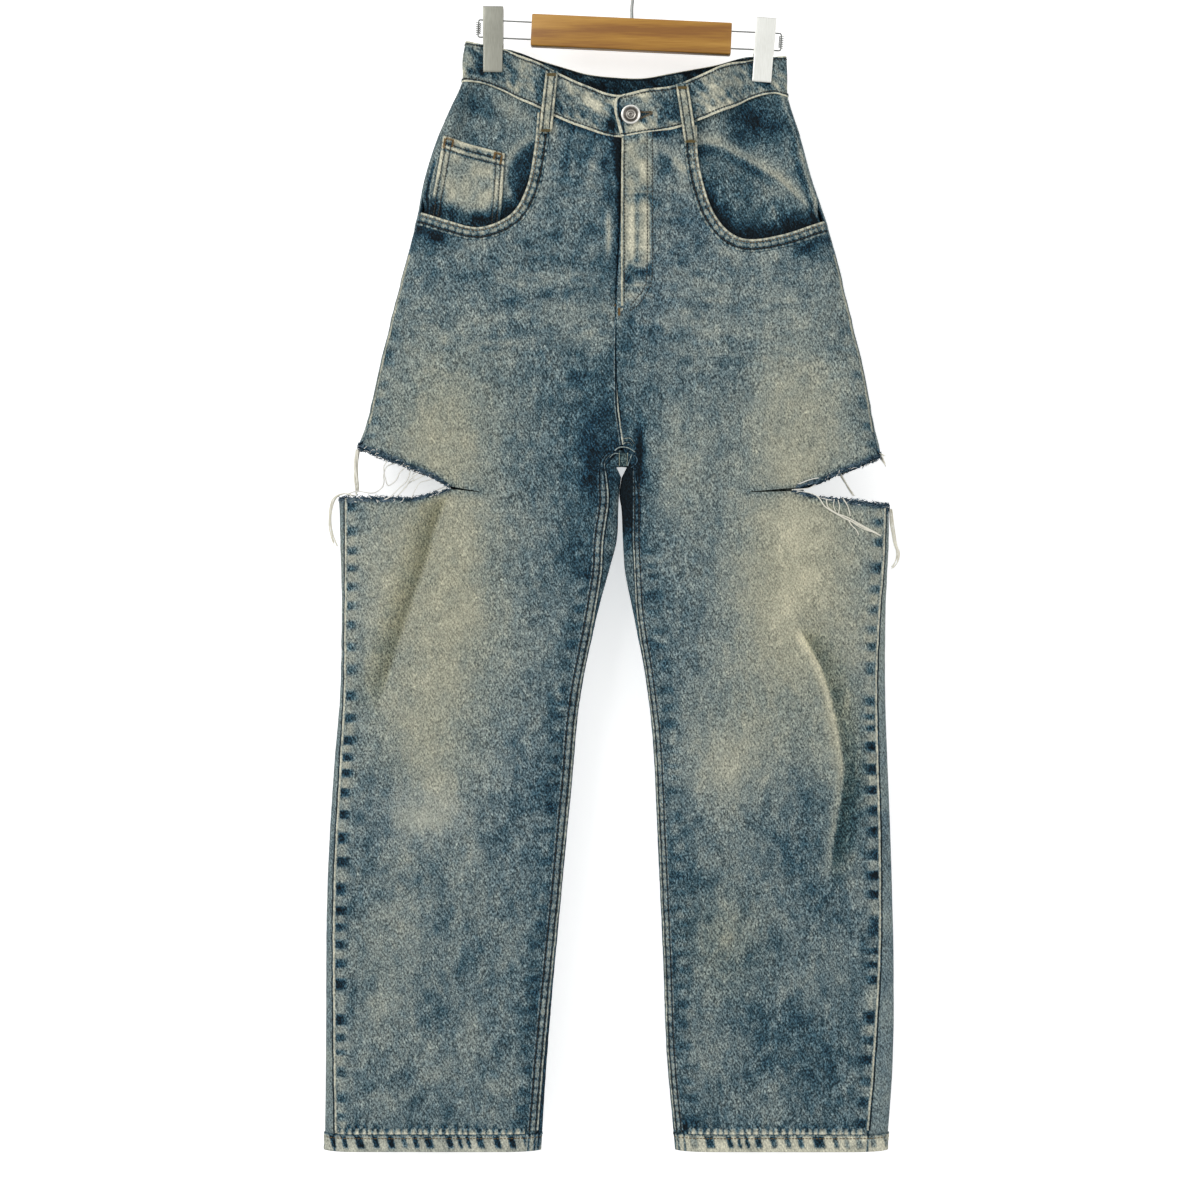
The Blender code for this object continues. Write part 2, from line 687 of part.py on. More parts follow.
def facing_sink(side, across, height, outer):
    """How far the facing lies inside the front: least at the side seam and under a clip."""
    from_side = ease(abs(outer - across) / FACING_SIDE_FADE)
    under_front = ease((MOUTH_AT_SIDE[side] + MOUTH_LEAD - height) / MOUTH_FADE)
    below_waist = ease((front_seam(across) - height) / FACING_BELOW_FADE)
    from_clip = ease((abs(across - CLIP_ACROSS[side]) - FACING_CLIP_FLAT) / FACING_BELOW_FADE)
    deepest = FACING_TOP_SINK + (POCKET_SINK - FACING_TOP_SINK) * max(below_waist, from_clip)
    return -deepest * max(from_side, under_front)


def pocket_facing(side):
    """The denim behind the pocket mouth, sewn in at the side seam and under the waistband."""
    def place(u, v):
        across = FACING_INNER[side]
        height = FACING_BELOW[side]
        for _ in range(3):
            top = front_seam(across) - FACING_TOP_GAP
            height = FACING_BELOW[side] + (top - FACING_BELOW[side]) * v
            start = way_at(side, FACING_INNER[side], height)
            end = trim(side, seam_way(side, "outseam", height), height, -FOLD_GAP)
            way = start + (end - start) * u
            across = cloth_place(side, way, height).x
        outer = cloth_place(side, end, height).x
        return cloth(side, way, height, facing_sink(side, across, height, outer))

    return sheet(f"pocket_facing_{side}", 8, 8, place, DENIM, DENIM_FINISH)


def mouth_cutter(side):
    outline = [tuple(point) for point in curve_points(MOUTHS[side], 3)]
    far_x = -CUT_REACH if side == RIGHT else CUT_REACH
    outline += [(far_x, outline[-1][1]), (far_x, CUT_TOP), (outline[0][0], CUT_TOP)]
    return cutter_from_outline(f"pocket_mouth_{side}", outline, -CUT_DEPTH, CUT_DEPTH / 2)


# The small fifth pocket on the right facing: its corners, clockwise from the top outer one.
WATCH_WALL = 1.0
WATCH_CLEAR = 1.15
WATCH_CORNERS = ((-175.3, -189), (-118.3, -204.3), (-125.8, -279.5), (-191.6, -267.5))


def watch_pocket():
    def place(u, v):
        top = Vector(WATCH_CORNERS[0]).lerp(Vector(WATCH_CORNERS[1]), u)
        bottom = Vector(WATCH_CORNERS[3]).lerp(Vector(WATCH_CORNERS[2]), u)
        across, height = bottom.lerp(top, v)
        way = way_at(RIGHT, across, height)
        outer = cloth_place(RIGHT, seam_way(RIGHT, "outseam", height), height).x
        sink = facing_sink(RIGHT, across, height, outer)
        return cloth(RIGHT, way, height, sink + DENIM / 2 + WATCH_CLEAR + WATCH_WALL / 2)

    return sheet("watch_pocket", 10, 7, place, WATCH_WALL, DENIM_FINISH)


# The back pockets: middle, mouth, half the width there, taper to the foot, depth and point.
BACK_POCKET_MIDDLE = {RIGHT: -98.0, LEFT: 78.0}
BACK_POCKET_TOP = -262.0
BACK_POCKET_HALF = 74.0
BACK_POCKET_TAPER = 9.0
BACK_POCKET_DROP = 150.0
BACK_POCKET_POINT = 20.0


def back_pocket(side):
    def place(u, v):
        half = BACK_POCKET_HALF - BACK_POCKET_TAPER * (1 - v)
        across = BACK_POCKET_MIDDLE[side] + half * (2 * u - 1)
        foot = BACK_POCKET_TOP - BACK_POCKET_DROP - BACK_POCKET_POINT * (1 - abs(2 * u - 1))
        height = foot + (BACK_POCKET_TOP - foot) * v
        way = way_at(side, across, height, behind=True)
        return cloth(side, way, height, DENIM / 2 + SEAM_GAP + DENIM / 2)

    return sheet(f"back_pocket_{side}", 6, 5, place, DENIM, DENIM_FINISH)


# ---------------------------------------------------------------- belt loops
# Each loop's middle at its top and bottom, its reach below the waist seam, and how much more
# it stands out where the waistband's ends overlap.
Loop = namedtuple("Loop", "name across_top across_bottom behind drop lap")
LOOPS = (
    Loop("belt_loop_front_right", -73.6, -79.8, False, 21.0, 0.0),
    Loop("belt_loop_front_left", 48.4, 57.0, False, 20.0, 0.5),
    Loop("belt_loop_back_right", -82.0, -84.0, True, 13.0, 0.0),
    Loop("belt_loop_back_centre", 6.0, 6.0, True, 13.0, 0.0),
    Loop("belt_loop_back_left", 76.0, 78.0, True, 13.0, 0.0),
)
LOOP_WIDTH = 11.0
LOOP_WALL = 2.0
LOOP_SHORT = 1.0        # the top is tucked this far below the waistband's edge
LOOP_CLEAR = 0.5
LOOP_BOW = 2.0          # how far the middle of a loop stands off the waistband


def belt_loop(loop):
    """A folded strip, tacked at the top of the waistband and below its seam."""
    side = LEFT if loop.across_top > CENTRE else RIGHT
    top_column = "back_top" if loop.behind else "front_top"
    seam_column = "back_seam" if loop.behind else "front_seam"

    def place(u, v):
        middle = loop.across_bottom + (loop.across_top - loop.across_bottom) * v
        across = middle + LOOP_WIDTH * (u - 0.5)
        top = smooth_value(WAIST, top_column, middle) - LOOP_SHORT
        bottom = smooth_value(WAIST, seam_column, middle) - loop.drop
        height = bottom + (top - bottom) * v
        way = way_at(side, across, height, behind=loop.behind)
        out = BAND_WALL / 2 + LOOP_CLEAR + LOOP_WALL / 2 + loop.lap
        out += LOOP_BOW * sin(pi * v) ** 2
        return cloth(side, way, height, out)

    return sheet(loop.name, 2, 7, place, LOOP_WALL, DENIM_FINISH)


# ---------------------------------------------------------------- button
BUTTON = Vector((0.4, 0, -170.5))
BUTTON_RADIUS = 9.3
BUTTON_CAP = 3.0
BUTTON_RIM = 2.6
SHANK_RADIUS = 2.6
BUTTONHOLE_RADIUS = 3.0
BUTTONHOLE_TAIL = 20.0
TAIL_RISE = (4.5, 3.7)     # the slit's two edges at its far end, above the button's middle
HOLE_REACH = 6.0
HOLE_BEHIND = 1.5


def turned(name, profile, material, place, steps=24):
    """A profile of (radius, depth) in mm, turned about an axis that points to the front."""
    shape = bmesh.new()
    verts = [shape.verts.new((radius * MM, 0, depth * MM)) for radius, depth in profile]
    edges = [shape.edges.new(pair) for pair in zip(verts, verts[1:])]
    bmesh.ops.spin(shape, geom=verts + edges, cent=(0, 0, 0), axis=(0, 0, 1), angle=2 * pi,
                   steps=steps, use_merge=True)
    bmesh.ops.remove_doubles(shape, verts=shape.verts, dist=0.00001)
    bmesh.ops.recalc_face_normals(shape, faces=shape.faces)
    piece = add_piece(name, shape, material, PARTS)
    piece.rotation_euler = (pi / 2, 0, 0)
    piece.location = Vector(place) * MM
    piece.data.shade_smooth()
    return piece


def button(band):
    """A tack button: the cap and its post, which goes through the buttonhole to the underlap."""
    way = way_at(LEFT, BUTTON.x, BUTTON.z)
    flap_face = cloth(LEFT, way, BUTTON.z, BAND_LAP_LIFT + BAND_WALL / 2).y
    under_face = cloth(LEFT, way, BUTTON.z, -BAND_LAP_LIFT + BAND_WALL / 2).y
    post = under_face - flap_face
    profile = ((0, -post), (SHANK_RADIUS, -post), (SHANK_RADIUS, 0), (BUTTON_RADIUS, 0),
               (BUTTON_RADIUS, BUTTON_CAP * 0.6), (BUTTON_RADIUS - BUTTON_RIM / 2, BUTTON_CAP),
               (BUTTON_RADIUS - BUTTON_RIM, BUTTON_CAP * 0.75), (SHANK_RADIUS, BUTTON_CAP * 0.9),
               (0, BUTTON_CAP))
    turned("button", profile, STEEL_FINISH, (BUTTON.x, flap_face - SEAM_GAP, BUTTON.z))
    turns = [radians(15 + 30 * step) for step in range(12)]
    eye = [(BUTTON.x + BUTTONHOLE_RADIUS * cos(turn), BUTTON.z + BUTTONHOLE_RADIUS * sin(turn))
           for turn in turns]
    tail_x = BUTTON.x + BUTTONHOLE_TAIL
    hole = [(tail_x, BUTTON.z + TAIL_RISE[0]), *eye, (tail_x, BUTTON.z + TAIL_RISE[1])]
    between = (flap_face + under_face) / 2
    cut(band, cutter_from_outline("buttonhole", hole, flap_face - HOLE_REACH, between + HOLE_BEHIND))


# ---------------------------------------------------------------- rips
# Each rip runs in from the side seam, front and back alike: its upper edge, its closed end
# and its lower edge, as (x, z).
RIPS = {
    RIGHT: ((-300, -466), (-257.5, -483), (-232, -492.5), (-207, -501.5), (-185, -511), (-171, -519.5),
            (-140, -525), (-140, -525.6), (-171, -522), (-190, -527.5), (-207, -530.8), (-243, -530),
            (-300, -530.5)),
    LEFT: ((300, -473), (240, -490.5), (214, -501.5), (197, -507), (180.5, -514.8), (157, -520.8),
           (113, -524.6), (113, -525.2), (154, -524.4), (180.5, -530), (199.5, -532), (245, -537),
           (300, -539)),
}


def rip_cutter(side):
    return cutter_from_outline(f"rip_{side}", RIPS[side], -CUT_DEPTH, CUT_DEPTH)


# Loose yarns that were left at the rips, each a plain solid of its reach.
Yarn = namedtuple("Yarn", "name radius points")
YARNS = (
    Yarn("yarn_bundle_side_right", 1.9,
         ((-258.4, 0, -484.0), (-260.4, 0.5, -499), (-260.2, 0, -512), (-258.9, -1, -529.0))),
    Yarn("yarn_loop_right", 1.3,
         ((-261, -12, -528.6), (-271, -10, -526.4), (-280, -8, -531), (-284, -7, -543),
          (-284.6, -6, -556), (-281.5, -6, -569), (-277.8, -6, -577))),
    Yarn("yarn_bundle_front_left", 1.2,
         ((178, -18.1, -531), (187, -18.0, -540), (200, -18.0, -548), (214, -17.9, -556),
          (226, -17.2, -561), (238, -13.5, -565.5))),
    Yarn("yarn_strand_left", 0.8, ((202.0, -15.4, -506.6), (207.5, -17, -520), (215.0, -16.2, -532.4))),
    Yarn("yarn_bundle_side_left", 1.5,
         ((247.6, -1, -540.5), (248.6, -2, -556), (251.5, -3, -574), (254, -3.5, -583),
          (252, -3.5, -592), (247.8, -3, -598))),
    Yarn("yarn_wisp_left", 0.9, ((237.5, -2, -492.2), (239.5, -3.5, -497), (242.5, -4.5, -502))),
)
YARN_FRINGE = ((-231.5, -493.7), (-189.0, -510.3), (-196.0, -528.0), (-236.5, -529.2))


def fringe_right():
    """The curling white weft yarns that cross the right rip, as one thin slab."""
    def place(u, v):
        top = Vector(YARN_FRINGE[0]).lerp(Vector(YARN_FRINGE[1]), u)
        bottom = Vector(YARN_FRINGE[3]).lerp(Vector(YARN_FRINGE[2]), u)
        across, height = bottom.lerp(top, v)
        return cloth(RIGHT, way_at(RIGHT, across, height), height)

    return sheet("yarn_fringe_right", 3, 2, place, 1.2, YARN_FINISH)


# ---------------------------------------------------------------- hanger
BAR_SIZE = (190.0, 12.0, 30.3)
BAR_MIDDLE = Vector((1.2, 0, -90.4))
BAR_TILT = 2.6          # degrees, the wearer's left end lower
WIRE_RADIUS = 0.75
WIRE_RISE = (8.0, -8.4)    # the two runs, above and below the middle of the bar
WIRE_REACH = {RIGHT: 50.5, LEFT: 47.5}    # how far the wires stand out of the bar
WIRE_CORNER = 1.6
HOOK_WIRE = 1.6
HOOK_INNER = 18.5
HOOK_CLEAR = 0.4
HOOK_STRAIGHT = 12.0
HOOK_LEAN = 3.0
HOOK_NECK = 8.0         # the neck's height below the round part
HOOK_TURN = (-50, 206, 16)    # degrees round: start, end, step
CLIP_WIDTH = 19.5
CLIP_SHEET = 1.2
CLIP_SPLAY = 7.0        # half the distance between the plates at the top
JAW_TO = 0.32           # the plates stay close up to this share of their height
SPLAY_OVER = 0.5        # and part over this share
JAW_CLEAR = 0.75
CLIP_BACK = 0.3         # how far the clip sits behind the mid-plane of the pressed layers
CLIP_ROWS = 11
CLIP_WALL_FROM = 5 / CLIP_ROWS    # the side walls start this share of the way up
WIRE_HOLE = 1.1
SPRING_RADIUS = 2.2
SPRING_WIRE = 0.4
SPRING_TURNS = 6
SPRING_STEPS = 8        # points in a turn
SPRING_SHORT = 2.6      # the coil ends this far from each wire


def on_bar(x, y, z):
    """A place given from the middle of the level bar, after the bar is tilted."""
    return Matrix.Rotation(radians(BAR_TILT), 3, 'Y') @ Vector((x, y, z)) + BAR_MIDDLE


def wooden_bar():
    half_length = BAR_SIZE[0] / 2
    bar = block("hanger_bar", (-half_length, -BAR_SIZE[1] / 2, -BAR_SIZE[2] / 2),
                (half_length, BAR_SIZE[1] / 2, BAR_SIZE[2] / 2), WOOD_FINISH, 1.2)
    bar.rotation_euler = (0, radians(BAR_TILT), 0)
    bar.location = BAR_MIDDLE * MM


def hook():
    """A bent wire: it rises from the bar and turns over the rail."""
    radius = HOOK_INNER + HOOK_WIRE
    foot = on_bar(0, 0, BAR_SIZE[2] / 2 + HOOK_CLEAR)
    neck = -HOOK_INNER - radius - HOOK_NECK
    route = [(foot.x, 0, foot.z), (foot.x, 0, foot.z + HOOK_STRAIGHT), (foot.x + HOOK_LEAN, 0, neck)]
    for angle in range(*HOOK_TURN):
        turn = radians(angle)
        route.append((radius * cos(turn), 0, radius * sin(turn) - HOOK_INNER))
    tube("hanger_hook", curve_points(route, 2), HOOK_WIRE, STEEL_FINISH)


def wires(side):
    """Both runs come out of the bar's end, pass through the clip and meet beyond it."""
    way = -1 if side == RIGHT else 1
    start = BAR_SIZE[0] / 2 + SEAM_GAP
    reach = BAR_SIZE[0] / 2 + WIRE_REACH[side]
    upper, lower = WIRE_RISE
    bend, eased = WIRE_CORNER, 0.3 * WIRE_CORNER
    route = [(start, upper), (reach - bend, upper), (reach - eased, upper - eased),
             (reach, upper - bend), (reach, lower + bend), (reach - eased, lower + eased),
             (reach - bend, lower), (start, lower)]
    tube(f"hanger_wire_{side}", [on_bar(way * x, 0, z) for x, z in route], WIRE_RADIUS, STEEL_FINISH)
    spring_low, spring_high = lower + SPRING_SHORT, upper - SPRING_SHORT
    spring = []
    for step in range(SPRING_TURNS * SPRING_STEPS + 1):
        turn = 2 * pi * step / SPRING_STEPS
        rise = spring_low + (spring_high - spring_low) * step / (SPRING_TURNS * SPRING_STEPS)
        spring.append(on_bar(way * (reach + SPRING_RADIUS * cos(turn)), SPRING_RADIUS * sin(turn), rise))
    tube(f"clip_spring_{side}", spring, SPRING_WIRE, STEEL_FINISH, sides=1)


def clip(side):
    """Two bent steel plates. The front one has side walls, which the wires run through."""
    middle = Vector((CLIP_ACROSS[side], CLIP_BACK, (CLIP_TOP[side] + CLIP_BOTTOM[side]) / 2))
    length = CLIP_TOP[side] - CLIP_BOTTOM[side]
    tilt = Matrix.Rotation(radians(CLIP_TILT[side]), 3, 'Y')
    jaw = PINCH_HALF + BAND_WALL / 2 + SEAM_GAP + CLIP_SHEET / 2 + JAW_CLEAR
    half = CLIP_WIDTH / 2 - CLIP_SHEET / 2

    def splay(v):
        return jaw + (CLIP_SPLAY - jaw) * ease((v - JAW_TO) / SPLAY_OVER)

    def front_place(u, v):
        corner = 4 * (u - 0.5)
        across = half * min(max(corner, -1), 1)
        wall = 2 * splay(v) - 1.5 * CLIP_SHEET if abs(corner) > 1.5 else 0
        return tilt @ Vector((across, wall - splay(v), (v - 0.5) * length)) + middle

    def back_place(u, v):
        return tilt @ Vector(((u - 0.5) * CLIP_WIDTH, splay(v), (v - 0.5) * length)) + middle

    shape = grid_shape(4, CLIP_ROWS, lambda u, v: Vector((u, v, 0)) / MM)
    jaw_walls = [face for face in shape.faces
                 if abs(face.calc_center_median().x - 0.5) > 0.25
                 and face.calc_center_median().y < CLIP_WALL_FROM]
    bmesh.ops.delete(shape, geom=jaw_walls, context='FACES')
    for vert in shape.verts:
        vert.co = front_place(vert.co.x, vert.co.y) * MM
    front = thicken(add_piece(f"clip_front_{side}", shape, STEEL_FINISH, PARTS), CLIP_SHEET)
    front.modifiers["wall"].use_even_offset = True
    sheet(f"clip_back_{side}", 1, CLIP_ROWS, back_place, CLIP_SHEET, STEEL_FINISH)
    way = -1 if side == RIGHT else 1
    for rise, run in zip(WIRE_RISE, ("upper", "lower")):
        hole = bmesh.new()
        bmesh.ops.create_cone(hole, cap_ends=True, segments=10, radius1=WIRE_HOLE * MM,
                              radius2=WIRE_HOLE * MM, depth=60 * MM)
        bmesh.ops.rotate(hole, cent=(0, 0, 0), verts=hole.verts,
                         matrix=Matrix.Rotation(radians(90 + BAR_TILT), 3, 'Y'))
        centre = on_bar(way * (BAR_SIZE[0] / 2 + WIRE_REACH[LEFT] - 12), 0, rise)
        bmesh.ops.translate(hole, vec=centre * MM, verts=hole.verts)
        cut(front, add_tool(f"wire_hole_{side}_{run}", hole))


# ---------------------------------------------------------------- the whole garment
clear_scene()
PARTS = new_collection("jeans_on_hanger")
CUTTERS = new_collection("cutters")
DENIM_FINISH = finish("washed_denim", (0.16, 0.22, 0.27), 0.9)
TAPE_FINISH = finish("zip_tape", (0.05, 0.08, 0.13), 0.9)
YARN_FINISH = finish("cotton_yarn", (0.72, 0.7, 0.6), 0.9)
BRASS_FINISH = finish("brass", (0.6, 0.45, 0.2), 0.35, 1.0)
STEEL_FINISH = finish("brushed_steel", (0.6, 0.6, 0.57), 0.35, 1.0)
WOOD_FINISH = finish("bamboo", (0.45, 0.22, 0.05), 0.5)

for garment_side in (RIGHT, LEFT):
    front = front_panel(garment_side)
    back = back_panel(garment_side)
    rip = rip_cutter(garment_side)
    crotch = crotch_cutter(garment_side)
    cut(front, mouth_cutter(garment_side))
    for panel in (front, back):
        cut(panel, rip)
        cut(panel, crotch, 'MANIFOLD')
    yoke(garment_side)
    hem(garment_side)
    pocket_facing(garment_side)
    back_pocket(garment_side)
    wires(garment_side)
    clip(garment_side)
watch_pocket()
button(waistband())
fly()
for belt in LOOPS:
    belt_loop(belt)
fringe_right()
for yarn in YARNS:
    tube(yarn.name, curve_points(yarn.points, 3), yarn.radius, YARN_FINISH, sides=1)
wooden_bar()
hook()
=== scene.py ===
"""Stone-washed ripped jeans, clipped by the waistband to a wooden trouser hanger.

The looks of the part: every visible surface, piece by piece, in the order that the garment is
cut, sewn, worn in, torn and hung. Tables are in millimetres and points are turned to metres as
they are made. +X is the wearer's left, +Y the back of the garment, +Z up.
"""
from collections import namedtuple
from math import cos, pi, radians, sin

import bmesh
import bpy
import numpy as np
from mathutils import Matrix, Vector
from mathutils.kdtree import KDTree


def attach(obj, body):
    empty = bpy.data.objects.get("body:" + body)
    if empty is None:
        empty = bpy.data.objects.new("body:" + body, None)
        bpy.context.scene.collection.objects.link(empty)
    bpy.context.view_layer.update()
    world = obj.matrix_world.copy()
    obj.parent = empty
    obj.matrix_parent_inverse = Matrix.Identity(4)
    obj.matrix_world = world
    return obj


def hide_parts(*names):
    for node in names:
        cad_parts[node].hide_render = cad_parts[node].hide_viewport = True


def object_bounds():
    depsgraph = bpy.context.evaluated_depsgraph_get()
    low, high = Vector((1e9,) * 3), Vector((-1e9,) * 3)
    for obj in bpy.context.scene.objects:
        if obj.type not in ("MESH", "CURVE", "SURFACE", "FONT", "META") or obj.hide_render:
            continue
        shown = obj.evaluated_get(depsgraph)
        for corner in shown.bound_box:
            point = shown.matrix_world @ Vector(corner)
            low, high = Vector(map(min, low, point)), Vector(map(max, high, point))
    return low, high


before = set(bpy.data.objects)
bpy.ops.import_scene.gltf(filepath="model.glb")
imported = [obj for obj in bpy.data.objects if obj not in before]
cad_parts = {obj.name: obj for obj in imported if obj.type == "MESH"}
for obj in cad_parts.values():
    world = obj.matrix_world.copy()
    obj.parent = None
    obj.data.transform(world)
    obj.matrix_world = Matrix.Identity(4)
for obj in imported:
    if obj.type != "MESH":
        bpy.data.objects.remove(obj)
CAD_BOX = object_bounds()
MM = 0.001
RIGHT, LEFT = "right", "left"


# ---------------------------------------------------------------- the room
# A white wall close behind the jeans, a pale floor below them and soft daylight from the front.
# The camera stands level with the middle of the garment, two and a half metres away.
def linear(code):
    """An sRGB hex colour as linear light."""
    parts = [int(code[i:i + 2], 16) / 255 for i in (1, 3, 5)]
    return (*(c / 12.92 if c <= 0.04045 else ((c + 0.055) / 1.055) ** 2.4 for c in parts), 1.0)


def add_node(tree, kind, inputs=None, stops=None, **settings):
    """One shader node, with its settings, colour stops, and inputs as values or linked sockets."""
    made = tree.nodes.new("ShaderNode" + kind)
    for name, value in settings.items():
        setattr(made, name, value)
    for name, value in (inputs or {}).items():
        if isinstance(value, bpy.types.NodeSocket):
            tree.links.new(value, made.inputs[name])
        else:
            made.inputs[name].default_value = value
    if stops:
        elements = made.color_ramp.elements
        while len(elements) < len(stops):
            elements.new(1.0)
        for element, (place, code) in zip(elements, stops):
            element.position = place
            element.color = linear(code)
    return made


def reckon(tree, operation, *values):
    """The result of a maths node."""
    return add_node(tree, "Math", dict(enumerate(values)), operation=operation).outputs[0]


def new_material(name, roughness, metallic=0.0, code="#cccccc"):
    material = bpy.data.materials.new(name)
    material.use_nodes = True
    shader = material.node_tree.nodes["Principled BSDF"]
    shader.inputs["Base Color"].default_value = linear(code)
    shader.inputs["Roughness"].default_value = roughness
    shader.inputs["Metallic"].default_value = metallic
    return material, material.node_tree, shader


def mesh_of(name, shape):
    """A mesh made from a shape, which is then let go."""
    mesh = bpy.data.meshes.new(name)
    shape.to_mesh(mesh)
    shape.free()
    return mesh


def placed(name, data):
    made = bpy.data.objects.new(name, data)
    bpy.context.scene.collection.objects.link(made)
    return made


def flat_plane(name, size, matrix, material):
    shape = bmesh.new()
    bmesh.ops.create_grid(shape, x_segments=1, y_segments=1, size=size / 2, matrix=matrix)
    plane = placed(name, mesh_of(name, shape))
    plane.data.materials.append(material)


def room():
    scene = bpy.context.scene
    scene.view_settings.view_transform = 'Standard'
    away, shown_width, sensor = 2.45, 1.14, 36
    camera = placed("camera", bpy.data.cameras.new("camera"))
    camera.location = (-0.0285, -away, -0.627)
    camera.rotation_euler = (radians(90), 0, 0)
    camera.data.sensor_width = sensor
    camera.data.lens = sensor * away / shown_width
    scene.camera = camera

    # Matt white paint. Seen by the camera it glows a little, so that it reads as white paper
    # and still takes a shadow. It is clear from behind, and to the light on the garment's back.
    wall_paint, tree, shader = new_material("white_wall_paint", 0.9, code="#f4f4f4")
    path = add_node(tree, "LightPath")
    glow = add_node(tree, "Emission", {"Color": (1, 1, 1, 1), "Strength": 0.55})
    lit = add_node(tree, "AddShader", {0: shader.outputs[0], 1: glow.outputs[0]})
    clear = add_node(tree, "BsdfTransparent")
    seen = add_node(tree, "MixShader", {0: path.outputs["Is Camera Ray"], 1: clear.outputs[0],
                                        2: lit.outputs[0]})
    behind = add_node(tree, "NewGeometry")
    paint = add_node(tree, "MixShader", {0: behind.outputs["Backfacing"], 1: seen.outputs[0],
                                         2: clear.outputs[0]})
    tree.links.new(paint.outputs[0], tree.nodes["Material Output"].inputs["Surface"])
    wall_gap, below_hems = 0.014, 0.12
    stand = Matrix.Translation((0, CAD_BOX[1].y + wall_gap, -0.6)) @ Matrix.Rotation(radians(90), 4, 'X')
    flat_plane("wall", 6, stand, wall_paint)
    floor_paint = new_material("pale_floor", 0.8, code="#e8e8e8")[0]
    flat_plane("floor", 12, Matrix.Translation((0, 0, CAD_BOX[0].z - below_hems)), floor_paint)

    world = bpy.data.worlds.new("daylight")
    scene.world = world
    world.use_nodes = True
    tree = world.node_tree
    path = add_node(tree, "LightPath")
    shown = reckon(tree, 'MAXIMUM', path.outputs["Is Camera Ray"], path.outputs["Is Glossy Ray"])
    shown = reckon(tree, 'MAXIMUM', shown, path.outputs["Is Transmission Ray"])
    strength = add_node(tree, "MapRange", {"Value": shown, "To Min": 0.62, "To Max": 1.0})
    background = tree.nodes["Background"]
    background.inputs["Color"].default_value = (1, 1, 1, 1)
    tree.links.new(strength.outputs[0], background.inputs["Strength"])

    for name, place, size, power in (("window", (-1.5, -1.9, 0.7), 1.4, 26),
                                     ("fill", (1.9, -1.6, -0.3), 1.6, 8),
                                     ("back_fill", (-1.2, 2.1, 0.3), 1.6, 14)):
        lamp = placed(name, bpy.data.lights.new(name, 'AREA'))
        lamp.data.size = size
        lamp.data.energy = power
        lamp.location = place
        aim = Vector((0, 0, -0.6)) - lamp.location
        lamp.rotation_euler = aim.to_track_quat('-Z', 'Y').to_euler()


room()


# ---------------------------------------------------------------- the form of the cloth
# Heavy cotton denim, hung flat, so front and back lie close together over an air gap. One form,
# stacked from flattened sections, carries every panel, band and stitch. A place on it is named by
# its side, its way round the section (0 inner fold, 1 outer fold, 2 inner fold behind) and height.
DENIM = 1.6
CENTRE = -8.0
INWARDS = {RIGHT: 1, LEFT: -1}
CROTCH_FRONT, CROTCH_BOTTOM = -482.0, -502.0
HEM_TOP, HEM_BOTTOM = -1132.0, -1148.0
CLIP_ACROSS = {RIGHT: -130.0, LEFT: 127.0}
Section = namedtuple("Section", "height outer inner outseam inseam front back")


def table(kind, *rows):
    return [kind(*row) for row in rows]


